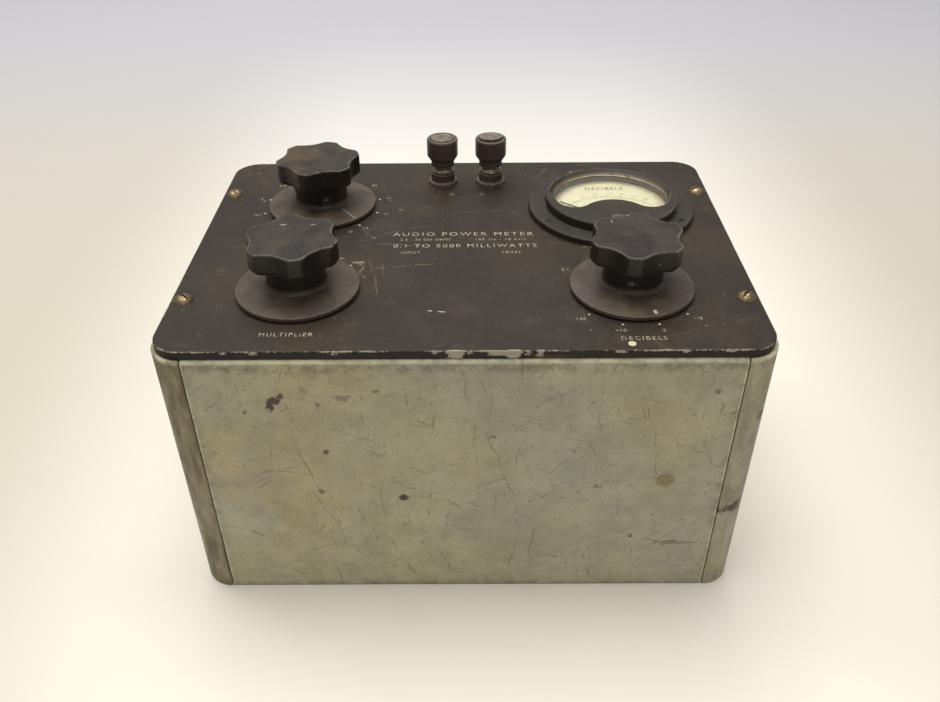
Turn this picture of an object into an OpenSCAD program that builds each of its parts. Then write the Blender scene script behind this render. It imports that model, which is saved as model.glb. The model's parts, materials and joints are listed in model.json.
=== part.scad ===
// Audio output power meter in a sheet-metal instrument case.
// The origin is the centre of the underside: +X right, +Y back, +Z up, in millimetres.

/* [Case] */
// Width of the front panel plate
panel_w = 254; // [250:1:262]
// Depth of the panel plate from front to back
panel_d = 180; // [178:1:186]
// Thickness of the panel plate
panel_t = 4; // [3:0.5:5]
// Corner radius of the panel plate
panel_r = 12.7; // [8:0.1:14]
// Height from the underside to the top of the panel
case_h = 140; // [136:1:170]
// Thickness of the four folded sheets
sheet_t = 1.6; // [1.2:0.1:2]
// Outer bend radius along the top of the sheets
bend_r = 2.2; // [2:0.1:3]
// Depth of the flange folded in under the panel at the sides
side_flange = 16; // [12:1:18]
// Depth of the flange folded in under the panel at front and back
end_flange = 12; // [8:1:12]
// How far the sheets stand out past the edge of the panel
ledge = 1.2; // [0.6:0.1:1.4]
// How far the corner posts stand out from the sheets
post_proud = 0.3; // [0.1:0.1:0.6]
// Open seam between a post and a sheet
seam = 0.4; // [0.2:0.1:0.6]
// Thickness of the base plate
base_t = 2; // [2:0.5:3]
// Distance of the panel screws from the middle, along the width
panel_screw_x = 121.5; // [120.8:0.1:121.5]
// Distance of the panel screws from the middle, along the depth
panel_screw_y = 51.5; // [45:0.5:60]

/* [Knobs] */
// Distance of the knobs from the middle, along the width
knob_x = 73; // [70:0.5:76]
// Distance of the two front knobs from the middle
knob_front_y = 43.7; // [42:0.1:46]
// Distance of the back knob from the middle
knob_back_y = 37; // [36:0.5:42]
// Diameter of the knob skirt
skirt_d = 54; // [44:1:56]
// Gap under the skirt
skirt_gap = 0.8; // [0.5:0.1:1.5]
// Height of the knob above the panel
knob_h = 26.5; // [24:0.5:32]
// Height above the panel at which the fluted head starts
head_z = 16.5; // [14:0.5:18]
// Mean radius of the fluted head
head_r = 19.2; // [16:0.1:21]
// Half the difference between lobe and flute
flute_depth = 1.5; // [0.5:0.1:2.5]
// Number of lobes round the head
lobes = 6; // [5:1:8]
// Diameter of the switch shafts
shaft_d = 6.35; // [6:0.05:6.5]

/* [Switches] */
// Diameter of the insulating switch deck
deck_d = 50; // [46:1:54]
// Thickness of the deck
deck_t = 3; // [2:0.5:4]
// Depth of the top of the deck below the panel top
deck_depth = 16; // [14:1:20]
// Radius of the ring of contact studs
stud_ring_r = 20; // [18:0.5:20.5]
// Angle between two switch positions
switch_step = 30; // [30:1:30]
// Positions of the impedance switch
impedance_steps = 10; // [6:1:10]
// Positions of the multiplier and the range switch
range_steps = 4; // [3:1:6]

/* [Terminals] */
// Distance between the two terminals
terminal_pitch = 25.4; // [22:0.1:30]
// Offset of the pair of terminals to the right of the middle
terminal_x = 0.6; // [-2:0.1:2]
// Distance of the terminals behind the middle
terminal_y = 65.5; // [62:0.5:68]
// Diameter of the terminal caps
cap_d = 16.2; // [14:0.1:18]
// Height of the cap top above the panel
cap_h = 24.8; // [24:0.1:27]
// Diameter of the threaded terminal studs
terminal_stud_d = 4.7; // [4:0.1:5]

/* [Meter] */
// Distance of the meter to the right of the middle
meter_x = 73.3; // [70:0.1:76]
// Distance of the meter behind the middle
meter_y = 32; // [31:0.1:33]
// Diameter of the bezel flange
flange_d = 82.5; // [80:0.5:84]
// Thickness of the bezel flange
flange_t = 3.3; // [2.5:0.1:4]
// Diameter of the raised ring
ring_d = 65.8; // [65:0.1:68]
// Height of the raised ring above the panel
ring_h = 8; // [7.6:0.1:9]
// Diameter of the arched top of the dial window
window_d = 56.4; // [55:0.2:57]
// Distance of the pointer pivot below the middle of the dial
pivot_drop = 18; // [17:0.5:18]
// Angle that the pointer rests to the left of the middle of the scale
pointer_rest = 50; // [40:1:50]

/* [Inside] */
// Width of the transformer core
core_w = 72; // [60:1:76]
// Height of the transformer core
core_h = 60; // [50:1:70]
// Thickness of the stack of laminations
core_d = 30; // [20:1:36]
// Height of the resistor board above the underside
board_z = 42; // [36:1:60]

/* [Hidden] */
$fn = 96;

fit = 0.05; // radial clearance of a turning or screwed fit
cut = 1; // overshoot of a cutting tool past a face

half_w = panel_w / 2;
half_d = panel_d / 2;
under_panel = case_h - panel_t;
sheet_x = half_w + ledge; // outer faces of the sheets
sheet_y = half_d + ledge;
corner_r = 12.7 + ledge; // from a sheet's outer face to the middle of a corner post
corner_x = sheet_x - corner_r;
corner_y = sheet_y - corner_r;
post_r = corner_r + post_proud;
post_wall = 1.9;
post_boss_r = 5;
tongue_l = 10;
tongue_t = 2;
inner_top = under_panel - sheet_t - 0.2;
base_corner_r = corner_r - sheet_t - 0.1;

screw_r = 1.95; // shank of the case screws
screw_head_r = 4.4;
screw_head_h = 2.6;
csk_r = 3.8;
csk_h = 1.8;
bush_len = 6;

black = [0.15, 0.14, 0.13];
grey_paint = [0.57, 0.55, 0.46];
bakelite = [0.2, 0.19, 0.18];
brass = [0.72, 0.6, 0.36];
steel = [0.6, 0.6, 0.58];
paxolin = [0.5, 0.33, 0.18];

impedance_at = [-knob_x, knob_back_y];
multiplier_at = [-knob_x, -knob_front_y];
range_at = [knob_x, -knob_front_y];
switches_at = [impedance_at, multiplier_at, range_at];
impedance_index = -45; // where each index mark points at rest
multiplier_index = 75;
range_index = -75;
impedance_first = -225;
multiplier_first = 45;
range_first = -135;

terminal_sides = [-1, 1];

bush_r = 9;
bush_thread_r = 4.75;
nut_r = 7.5;
nut_t = 2.4;
deck_under = deck_depth + deck_t;
stud_head_r = 2.2;
stud_head_h = 1.2;
wiper_gap = 0.2;
wiper_drop = 6.4; // depth of the wiper arm's top below the deck
wiper_t = 1.4;

base_h = 6.2; // height of the terminal's insulating base
clamp_z = base_h + 0.3;
clamp_t = 3;
cap_z = clamp_z + clamp_t + 0.3;
terminal_bore_r = terminal_stud_d / 2 + fit;
spigot_r = 4.9;
terminal_hole_r = 5;

meter_at = [meter_x, meter_y];
meter_screw_ring = 37.2;
meter_screw_angles = [90, 210, 330];
meter_screw_r = 1.5;
meter_csk_r = 2.6;
meter_csk_h = 1.2;
meter_screw_top = flange_t - 0.1; // the heads lie just below the face of the flange
csk_fit = 0.1; // clearance round a countersunk head
barrel_r = 33.8;
barrel_bore = 31;
barrel_depth = 30;
cavity_r = 29; // inside of the bezel, round the dial
arch_r = window_d / 2;
lobe_at = [19, -4.4]; // the window's rounded ends, tangent inside the arch
lobe_r_in = arch_r - norm(lobe_at);
bump_top = -4.7; // the round bump, tangent to both ends
bump_rise = lobe_at[1] - bump_top;
bump_r = (lobe_at[0] * lobe_at[0] + bump_rise * bump_rise - lobe_r_in * lobe_r_in)
    / (2 * (lobe_r_in - bump_rise));
bump_y = bump_top - bump_r;
mask_under = ring_h - 2.2;
glass_t = 1.6;
dial_t = 1;
magnet_top = -8;
magnet_t = 11;
adjuster_y = -26;
pivot_shaft_r = 0.8;

transformer_at = [0, 20];
leg_w = core_w / 3;
window_w = core_w / 6;
window_h = core_h - 2 * window_w;
foot_t = 3;
foot_l = 14;
clamp_reach = core_w / 2 + 1.6;
feet_at = [for (s = [-1, 1]) for (k = [-1, 1])
    [transformer_at[0] + s * (clamp_reach + 7), transformer_at[1] + k * 8]];

board_at = [-80, -5];
board_w = 66;
board_l = 130;
board_t = 2;
pillar_r = 4;
pillars_at = [for (s = [-1, 1]) for (k = [-1, 1])
    [board_at[0] + s * (board_w / 2 - 6), board_at[1] + k * (board_l / 2 - 6)]];
posts_at = [for (s = [-1, 1]) for (k = [-1, 1]) [s * corner_x, k * corner_y]];
base_screws_at = concat(posts_at, feet_at, pillars_at);
resistor_r = 5;
resistor_l = 20;
wire_r = 0.8;
rectifier_at = [meter_x, meter_y - 14];

// ---- shared shapes ----

// Flat plate with round corners, centred on the axis
module rounded_outline(w, d, r) {
    square([w - 2 * r, d], center = true);
    square([w, d - 2 * r], center = true);
    for (s = [-1, 1])
        for (k = [-1, 1])
            translate([s * (w / 2 - r), k * (d / 2 - r)])
                circle(r);
}

// Low domed head with a slot, its flat face at the origin
module domed_head(r, h, slot_angle, slot_w) {
    ball = (r * r + h * h) / (2 * h);
    difference() {
        intersection() {
            translate([0, 0, h - ball])
                sphere(ball);
            cylinder(r = r + cut, h = h + cut);
        }
        rotate(slot_angle)
            translate([-r - cut, -slot_w / 2, h * 0.5])
                cube([2 * r + 2 * cut, slot_w, h]);
    }
}

module hex_nut(r, t, bore) {
    difference() {
        cylinder(r = r, h = t, $fn = 6);
        translate([0, 0, -cut])
            cylinder(r = bore, h = t + 2 * cut);
    }
}

module on_panel(at) {
    translate([at[0], at[1], case_h])
        children();
}

// ---- case ----

module quarter_ring(r_out, r_in) {
    difference() {
        intersection() {
            circle(r_out);
            square(r_out);
        }
        circle(r_in);
    }
}

// Corner extrusion in the +X +Y corner; s and k turn it to the others
module post(s, k) {
    inner_r = corner_r - sheet_t - tongue_t + 0.1;
    tongue_y = corner_r - sheet_t - tongue_t;
    color(grey_paint)
        scale([s, k, 1])
            translate([corner_x, corner_y, 0])
                difference() {
                    union() {
                        linear_extrude(under_panel)
                            quarter_ring(post_r, post_r - post_wall);
                        translate([0, 0, base_t + 0.1])
                            linear_extrude(inner_top - base_t - 0.1) {
                                quarter_ring(post_r, inner_r);
                                translate([-tongue_l, tongue_y])
                                    square([tongue_l + 0.5, tongue_t]);
                                translate([tongue_y, -tongue_l])
                                    square([tongue_t, tongue_l + 0.5]);
                                circle(post_boss_r);
                                rotate(45)
                                    translate([0, -1.5])
                                        square([inner_r + 1, 3]);
                            }
                    }
                    translate([0, 0, -cut])
                        cylinder(r = screw_r + fit, h = 16);
                }
}

// Section of a folded sheet: x inward from the outer face, y up
module sheet_section(flange) {
    square([sheet_t, under_panel - bend_r]);
    translate([bend_r, under_panel - sheet_t])
        square([flange - bend_r, sheet_t]);
    translate([bend_r, under_panel - bend_r])
        mirror([1, 0])
            quarter_ring(bend_r, bend_r - sheet_t);
}

module folded_sheet(length, reach, flange) {
    color(grey_paint)
        translate([-length / 2, -reach, 0])
            rotate([90, 0, 90])
                linear_extrude(length)
                    sheet_section(flange);
}

module end_sheet(turn) {
    rotate(turn)
        folded_sheet(2 * (corner_x - seam), sheet_y, end_flange);
}

module side_sheet(turn) {
    color(grey_paint)
        difference() {
            rotate(turn)
                folded_sheet(2 * (corner_y - seam), sheet_x, side_flange);
            for (s = [-1, 1])
                for (k = [-1, 1])
                    translate([s * panel_screw_x, k * panel_screw_y, under_panel - 3])
                        cylinder(r = screw_r + 0.3, h = 4);
        }
}

module base_plate() {
    color(grey_paint)
        difference() {
            linear_extrude(base_t)
                rounded_outline(2 * (corner_x + base_corner_r),
                                2 * (corner_y + base_corner_r), base_corner_r);
            for (p = base_screws_at)
                translate([p[0], p[1], 0]) {
                    translate([0, 0, -cut])
                        cylinder(r = screw_r + fit, h = base_t + 2 * cut);
                    cylinder(r1 = csk_r + fit, r2 = screw_r + fit, h = csk_h);
                }
        }
}

module base_screws() {
    color(steel)
        for (p = base_screws_at)
            translate([p[0], p[1], 0])
                difference() {
                    union() {
                        cylinder(r1 = csk_r, r2 = screw_r, h = csk_h);
                        cylinder(r = screw_r, h = base_t + foot_t - 0.3);
                    }
                    translate([-csk_r, -0.5, -cut])
                        cube([2 * csk_r, 1, cut + 0.8]);
                }
}

module panel_bushes() {
    color(steel)
        for (s = [-1, 1])
            for (k = [-1, 1])
                translate([s * panel_screw_x, k * panel_screw_y, under_panel - sheet_t - bush_len])
                    difference() {
                        cylinder(r = 3.8, h = bush_len);
                        translate([0, 0, -cut])
                            cylinder(r = screw_r + fit, h = bush_len + 2 * cut);
                    }
}

module top_panel() {
    color(black)
        difference() {
            translate([0, 0, under_panel])
                linear_extrude(panel_t)
                    rounded_outline(panel_w, panel_d, panel_r);
            for (p = switches_at)
                translate([p[0], p[1], under_panel - cut])
                    cylinder(r = bush_thread_r + fit, h = panel_t + 2 * cut);
            for (s = terminal_sides)
                translate([terminal_x + s * terminal_pitch / 2, terminal_y, under_panel - cut])
                    cylinder(r = terminal_hole_r, h = panel_t + 2 * cut);
            translate([meter_x, meter_y, under_panel - cut])
                cylinder(r = barrel_r + 0.3, h = panel_t + 2 * cut);
            for (a = meter_screw_angles)
                translate([meter_x, meter_y, under_panel - cut])
                    rotate(a)
                        translate([meter_screw_ring, 0, 0])
                            cylinder(r = meter_screw_r + fit, h = panel_t + 2 * cut);
            for (s = [-1, 1])
                for (k = [-1, 1])
                    translate([s * panel_screw_x, k * panel_screw_y, under_panel - cut])
                        cylinder(r = screw_r + fit, h = panel_t + 2 * cut);
        }
}

module panel_screws() {
    slots = [[-35, -71], [45, 20]]; // slot angles: left front and back, right front and back
    color(brass)
        for (s = [0, 1])
            for (k = [0, 1])
                on_panel([(2 * s - 1) * panel_screw_x, (2 * k - 1) * panel_screw_y]) {
                    domed_head(screw_head_r, screw_head_h, slots[s][k], 1.1);
                    translate([0, 0, -panel_t - sheet_t - bush_len + 0.5])
                        cylinder(r = screw_r, h = panel_t + sheet_t + bush_len);
                }
}

// ---- switches ----

module switch_bushes() {
    color(brass)
        for (p = switches_at)
            on_panel(p)
                difference() {
                    union() {
                        translate([0, 0, -deck_depth])
                            cylinder(r = bush_r, h = deck_depth - panel_t);
                        translate([0, 0, -deck_under - nut_t - 0.6])
                            cylinder(r = bush_thread_r, h = deck_under + 2 * nut_t + 1);
                    }
                    translate([0, 0, -deck_under - nut_t - 2])
                        cylinder(r = shaft_d / 2 + fit, h = 2 * deck_under);
                }
}

module bush_nuts() {
    color(brass)
        for (p = switches_at)
            on_panel(p)
                for (z = [0, -deck_under - nut_t])
                    translate([0, 0, z])
                        hex_nut(nut_r, nut_t, bush_thread_r + fit);
}

module switch_decks() {
    color(paxolin)
        for (p = switches_at)
            on_panel(p)
                translate([0, 0, -deck_under])
                    difference() {
                        cylinder(r = deck_d / 2, h = deck_t);
                        translate([0, 0, -cut])
                            cylinder(r = bush_thread_r + fit, h = deck_t + 2 * cut);
                        for (i = [0:11])
                            rotate(i * switch_step + 15)
                                translate([stud_ring_r, 0, -cut])
                                    cylinder(r = 1.3, h = deck_t + 2 * cut);
                    }
}

module stud_ring(first, steps) {
    for (i = [0:steps - 1])
        rotate(first + i * switch_step)
            translate([stud_ring_r, 0, -deck_under]) {
                translate([0, 0, -stud_head_h])
                    cylinder(r = stud_head_r, h = stud_head_h);
                cylinder(r = 1.25, h = deck_t + 3);
            }
}

module contact_studs() {
    color(brass) {
        on_panel(impedance_at)
            stud_ring(impedance_first, impedance_steps);
        on_panel(multiplier_at)
            stud_ring(multiplier_first, range_steps);
        on_panel(range_at)
            stud_ring(range_first, range_steps);
    }
}

module shaft(at) {
    shaft_low = -deck_under - wiper_drop - 6;
    color(steel)
        on_panel(at)
            translate([0, 0, shaft_low])
                cylinder(r = shaft_d / 2, h = 21 - shaft_low);
}

function lobe_r(a, phase) = head_r + flute_depth * cos(lobes * (a - phase));

// Knob: skirt, waisted neck and fluted head
module knob(at, phase, hole_angle) {
    neck_low = 12.6;
    neck_top = 14;
    recess_h = 3.6;
    color(bakelite)
        on_panel(at)
            difference() {
                union() {
                    rotate_extrude()
                        polygon([[0, recess_h], [11.5, recess_h], [11.5, skirt_gap],
                                 [skirt_d / 2 - 0.3, skirt_gap], [skirt_d / 2, skirt_gap + 0.4],
                                 [skirt_d / 2, 2.2], [skirt_d / 2 - 0.5, 2.7],
                                 [neck_low + 1.2, 4.8], [neck_low, 6],
                                 [neck_top, head_z + 0.5], [0, head_z + 0.5]]);
                    translate([0, 0, head_z])
                        linear_extrude(knob_h - head_z)
                            polygon([for (a = [0:3:357]) lobe_r(a, phase) * [cos(a), sin(a)]]);
                }
                cylinder(r = shaft_d / 2 + fit, h = 22);
                rotate(hole_angle)
                    translate([0, 0, 9])
                        rotate([0, 90, 0])
                            cylinder(r = 1.8 + fit, h = 20);
            }
}

module knob_screw(at, hole_angle) {
    color(steel)
        on_panel(at)
            rotate(hole_angle)
                translate([shaft_d / 2, 0, 9])
                    rotate([0, 90, 0])
                        difference() {
                            cylinder(r = 1.8, h = 7.5);
                            translate([-0.4, -2, 6.7])
                                cube([0.8, 4, 2]);
                        }
}

// Spring arm that carries the moving contact under the deck
module wiper(at, angle) {
    top = -deck_under - wiper_drop;
    tip_top = -deck_under - stud_head_h - wiper_gap;
    color(brass)
        on_panel(at)
            rotate(angle)
                difference() {
                    union() {
                        translate([0, 0, top - 3])
                            cylinder(r = 5.5, h = 3);
                        translate([0, -2.5, top - wiper_t])
                            cube([stud_ring_r, 5, wiper_t]);
                        translate([stud_ring_r, 0, top - wiper_t])
                            cylinder(r = 2.5, h = tip_top - top + wiper_t);
                    }
                    translate([0, 0, top - 5])
                        cylinder(r = shaft_d / 2 + fit, h = 10);
                }
}

// ---- terminals ----

module at_terminal(s) {
    on_panel([terminal_x + s * terminal_pitch / 2, terminal_y])
        children();
}

module terminal_bases() {
    color(bakelite)
        for (s = terminal_sides)
            at_terminal(s)
                rotate_extrude()
                    polygon([[terminal_bore_r, -panel_t], [spigot_r, -panel_t], [spigot_r, 0],
                             [7.75, 0], [7.75, 1.2], [7.3, 1.6], [6.3, 1.6],
                             [6.3, base_h - 0.5], [5.8, base_h], [terminal_bore_r, base_h]]);
}

module terminal_studs() {
    color(brass)
        for (s = terminal_sides)
            at_terminal(s)
                translate([0, 0, -18])
                    cylinder(d = terminal_stud_d, h = 18 + 18.5);
}

module terminal_insulators() {
    color(paxolin)
        for (s = terminal_sides)
            at_terminal(s)
                translate([0, 0, -panel_t - 2.5])
                    difference() {
                        cylinder(r = 7.5, h = 2.5);
                        translate([0, 0, -cut])
                            cylinder(r = terminal_bore_r, h = 2.5 + 2 * cut);
                    }
}

module terminal_nuts() {
    color(brass)
        for (s = terminal_sides)
            at_terminal(s)
                translate([0, 0, -panel_t - 5])
                    hex_nut(5, 2.5, terminal_bore_r);
}

module terminal_clamp(s) {
    color(steel)
        at_terminal(s)
            rotate_extrude()
                polygon([[terminal_bore_r, clamp_z], [5.6, clamp_z], [5.9, clamp_z + 0.4],
                         [5.9, clamp_z + 1.8], [5.2, clamp_z + clamp_t],
                         [terminal_bore_r, clamp_z + clamp_t]]);
}

module terminal_cap(s) {
    cap_r = cap_d / 2;
    color(bakelite)
        at_terminal(s)
            rotate_extrude()
                polygon([[terminal_bore_r, cap_z], [5.7, cap_z], [6.05, cap_z + 0.4],
                         [6.05, 12.4], [cap_r, 15.8], [cap_r, cap_h - 1],
                         [cap_r - 0.9, cap_h], [6.3, cap_h], [6.3, cap_h - 1.6],
                         [0, cap_h - 1.6], [0, 20], [terminal_bore_r, 20]]);
}

module terminal_disc(s) {
    color(steel)
        at_terminal(s)
            translate([0, 0, cap_h - 1.6])
                cylinder(r = 6.2, h = 1.2);
}

// ---- meter ----

// Points along an arc, leaving out its first, so that arcs join end to end
function arc_points(centre, r, from, to, steps) =
    [for (k = [1:steps])
        let (a = from + (to - from) * k / steps)
        centre + r * [cos(a), sin(a)]];

// Opening of the dial: a wide arch, two round ends and a round bump rising from below
module window_outline() {
    end_turn = atan2(lobe_at[1], lobe_at[0]);
    meet_turn = atan2(bump_y - lobe_at[1], lobe_at[0]);
    left_at = [-lobe_at[0], lobe_at[1]];
    polygon(concat(
        arc_points([0, 0], arch_r, end_turn, 180 - end_turn, 70),
        arc_points(left_at, lobe_r_in, 180 - end_turn, 360 + meet_turn, 18),
        arc_points([0, bump_y], bump_r, 180 + meet_turn, -meet_turn, 20),
        arc_points(lobe_at, lobe_r_in, 180 - meet_turn, 360 + end_turn, 18)
    ));
}

module meter_bezel() {
    color(bakelite)
        on_panel(meter_at)
            difference() {
                rotate_extrude()
                    polygon([[0, 0], [flange_d / 2, 0], [flange_d / 2, flange_t - 0.8],
                             [flange_d / 2 - 0.8, flange_t], [ring_d / 2 + 0.6, flange_t],
                             [ring_d / 2, flange_t + 0.8], [ring_d / 2, ring_h - 1.8],
                             [ring_d / 2 - 0.6, ring_h - 0.6], [ring_d / 2 - 1.8, ring_h],
                             [0, ring_h]]);
                translate([0, 0, -cut])
                    cylinder(r = cavity_r, h = mask_under + cut);
                translate([0, 0, mask_under - cut])
                    linear_extrude(ring_h)
                        window_outline();
                translate([0, adjuster_y, 0])
                    cylinder(r = 1.5 + fit, h = ring_h + cut);
                for (a = meter_screw_angles)
                    rotate(a)
                        translate([meter_screw_ring, 0, 0])
                            rotate_extrude()
                                polygon([[0, -cut], [meter_screw_r + csk_fit, -cut],
                                         [meter_screw_r + csk_fit, meter_screw_top - meter_csk_h],
                                         [meter_csk_r + csk_fit, meter_screw_top],
                                         [meter_csk_r + csk_fit, flange_t + cut],
                                         [0, flange_t + cut]]);
            }
}

module meter_glass() {
    glass_r = cavity_r - 0.2;
    color([0.8, 0.85, 0.85, 0.4])
        on_panel(meter_at)
            translate([0, 0, mask_under - glass_t])
                intersection() {
                    cylinder(r = glass_r, h = glass_t);
                    translate([-glass_r - cut, -16, -cut])
                        cube([2 * glass_r + 2 * cut, 60, glass_t + 2 * cut]);
                }
}

module meter_dial() {
    color([0.9, 0.87, 0.74])
        on_panel(meter_at)
            difference() {
                cylinder(r = cavity_r - 0.4, h = dial_t);
                translate([0, -pivot_drop, -cut])
                    cylinder(r = 4, h = dial_t + 2 * cut);
            }
}

// Round moulded can behind the panel, with two bosses under the magnet
module meter_case() {
    floor_z = 3;
    color(bakelite)
        on_panel(meter_at)
            difference() {
                union() {
                    difference() {
                        translate([0, 0, -barrel_depth])
                            cylinder(r = barrel_r, h = barrel_depth);
                        translate([0, 0, -barrel_depth + floor_z])
                            cylinder(r = barrel_bore, h = barrel_depth - floor_z - 3);
                        translate([0, 0, -4])
                            cylinder(r = 27, h = 4 + cut);
                    }
                    for (s = [-1, 1])
                        translate([s * 9, 16, -barrel_depth + cut])
                            cylinder(r = 3.5, h = barrel_depth - cut + magnet_top - magnet_t);
                }
                for (s = [-1, 1])
                    translate([s * 14, 2, -barrel_depth - cut])
                        cylinder(r = 2 + fit, h = floor_z + 2 * cut);
            }
}

module meter_screws() {
    slot_w = 0.7;
    color(black)
        on_panel(meter_at)
            for (a = meter_screw_angles)
                rotate(a)
                    translate([meter_screw_ring, 0, 0])
                        difference() {
                            union() {
                                translate([0, 0, -panel_t])
                                    cylinder(r = meter_screw_r, h = panel_t + meter_screw_top);
                                translate([0, 0, meter_screw_top - meter_csk_h])
                                    cylinder(r1 = meter_screw_r, r2 = meter_csk_r, h = meter_csk_h);
                            }
                            rotate(70)
                                translate([-meter_csk_r - cut, -slot_w / 2, meter_screw_top - 0.7])
                                    cube([2 * meter_csk_r + 2 * cut, slot_w, 2]);
                        }
}

// Horseshoe magnet round the coil, seen from above
module meter_magnet() {
    gap_bore = 8.2;
    color([0.3, 0.3, 0.32])
        on_panel(meter_at)
            difference() {
                translate([-14, -25.5, magnet_top - magnet_t])
                    cube([28, 46, magnet_t]);
                translate([0, -pivot_drop, magnet_top - magnet_t - cut])
                    cylinder(r = gap_bore, h = magnet_t + 2 * cut);
                translate([-6, -pivot_drop, magnet_top - magnet_t - cut])
                    cube([12, pivot_drop + 8, magnet_t + 2 * cut]);
                translate([-3, -30, magnet_top - magnet_t - cut])
                    cube([6, 8, magnet_t + 2 * cut]);
            }
}

// Soft iron core inside the coil, held by an arm from the yoke
module meter_core() {
    color(steel)
        on_panel(meter_at)
            translate([0, -pivot_drop, magnet_top - magnet_t]) {
                difference() {
                    union() {
                        cylinder(r = 5, h = magnet_t);
                        translate([-1.2, 0, 3])
                            cube([2.4, pivot_drop + 8, 5]);
                    }
                    translate([0, 0, -cut])
                        cylinder(r = pivot_shaft_r + 0.4, h = magnet_t + 2 * cut);
                }
            }
}

// Two bars that carry the pivots above and below the coil
module meter_bridge() {
    bar_gap = 5.5;
    color(brass)
        on_panel(meter_at)
            translate([0, -pivot_drop, 0])
                for (side = [0, 1])
                    translate([0, 0, side == 0 ? magnet_top : magnet_top - magnet_t])
                        scale([1, 1, side == 0 ? 1 : -1])
                            difference() {
                                translate([-12, -3, 0])
                                    cube([24, 6, bar_gap + 1.4]);
                                translate([-9.4, -3 - cut, -cut])
                                    cube([18.8, 6 + 2 * cut, bar_gap + cut]);
                                cylinder(r = pivot_shaft_r + fit, h = bar_gap + 3);
                            }
}

module meter_terminals() {
    color(brass)
        on_panel(meter_at)
            for (s = [-1, 1])
                translate([s * 14, 2, -barrel_depth]) {
                    translate([0, 0, -7])
                        cylinder(r = 2, h = 10.5);
                    translate([0, 0, 3])
                        cylinder(r = 3.2, h = 1.6);
                    translate([0, 0, -3])
                        cylinder(r = 4, h = 3, $fn = 6);
                }
}

module in_movement() {
    on_panel(meter_at)
        translate([0, -pivot_drop, 0])
            rotate(pointer_rest)
                children();
}

// Rectangular coil on its spindle
module meter_coil() {
    coil_top = magnet_top + 2.6;
    coil_h = magnet_t + 5.2;
    color(brass)
        in_movement() {
            difference() {
                translate([-7.5, -1.2, coil_top - coil_h])
                    cube([15, 2.4, coil_h]);
                translate([-5.8, -2, coil_top - coil_h + 1.4])
                    cube([11.6, 4, coil_h - 2.8]);
            }
            translate([0, 0, coil_top - 0.5])
                cylinder(r = pivot_shaft_r, h = 2.2 - coil_top + 0.5);
            translate([0, 0, magnet_top - magnet_t - 6.4])
                cylinder(r = pivot_shaft_r, h = 4.4);
        }
}

module meter_pointer() {
    low = dial_t + 0.7;
    color([0.12, 0.11, 0.1])
        in_movement()
            difference() {
                union() {
                    translate([0, 0, low - 0.2])
                        cylinder(r = 2, h = 1.1);
                    translate([0, 0, low])
                        linear_extrude(0.4)
                            polygon([[-0.7, 0], [-0.22, 33], [0.22, 33], [0.7, 0],
                                     [0.9, -6.5], [-0.9, -6.5]]);
                }
                translate([0, 0, low - 1])
                    cylinder(r = pivot_shaft_r + 0.01, h = 1.75);
            }
}

// Flat spiral between the coil and the upper bar
module meter_hairspring() {
    turns = 3.5;
    spiral_in = 1.6;
    spiral_pitch = 1;
    spring_w = 0.3;
    steps = 24 * turns;
    color(brass)
        in_movement() {
            translate([0, 0, magnet_top + 3.4])
                linear_extrude(0.5)
                    polygon(concat(
                        [for (i = [0:steps]) (spiral_in + spiral_pitch * i / 24)
                            * [cos(15 * i), sin(15 * i)]],
                        [for (i = [steps:-1:0]) (spiral_in + spring_w + spiral_pitch * i / 24)
                            * [cos(15 * i), sin(15 * i)]]));
            translate([0, 0, magnet_top + 3.4])
                difference() {
                    cylinder(r = spiral_in + 0.2, h = 0.5);
                    translate([0, 0, -cut])
                        cylinder(r = pivot_shaft_r, h = 3);
                }
        }
}

// Screw in the mask that sets the pointer to zero
module zero_adjuster() {
    color(bakelite)
        on_panel(meter_at)
            translate([0, adjuster_y, 0])
                difference() {
                    union() {
                        translate([0, 0, ring_h + 0.1])
                            cylinder(r = 3, h = 1);
                        translate([0, 0, mask_under - 1])
                            cylinder(r = 1.5, h = ring_h - mask_under + 1.5);
                        translate([0, 0, mask_under - 1.1])
                            cylinder(r = 2.4, h = 1);
                        translate([0, 1.6, mask_under - 2.2])
                            cylinder(r = 0.5, h = 1.4);
                    }
                    translate([-4, -0.4, ring_h + 0.6])
                        cube([8, 0.8, 2]);
                }
}

// ---- inside the case ----

module at_transformer() {
    translate([transformer_at[0], transformer_at[1], base_t + foot_t])
        children();
}

module transformer_core() {
    color([0.35, 0.33, 0.3])
        at_transformer()
            translate([-core_w / 2, -core_d / 2, 0])
                difference() {
                    cube([core_w, core_d, core_h]);
                    for (x = [window_w, core_w - 2 * window_w])
                        translate([x, -cut, window_w])
                            cube([window_w, core_d + 2 * cut, window_h]);
                }
}

module transformer_winding() {
    build = window_w - 0.4;
    play = 0.1;
    coil_h = window_h - 2 * play;
    color([0.62, 0.5, 0.28])
        at_transformer()
            translate([0, 0, window_w + play])
                linear_extrude(coil_h)
                    difference() {
                        rounded_outline(leg_w + 2 * build, core_d + 2 * build, 3);
                        square([leg_w + 2 * play, core_d + 2 * play], center = true);
                    }
}

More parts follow.
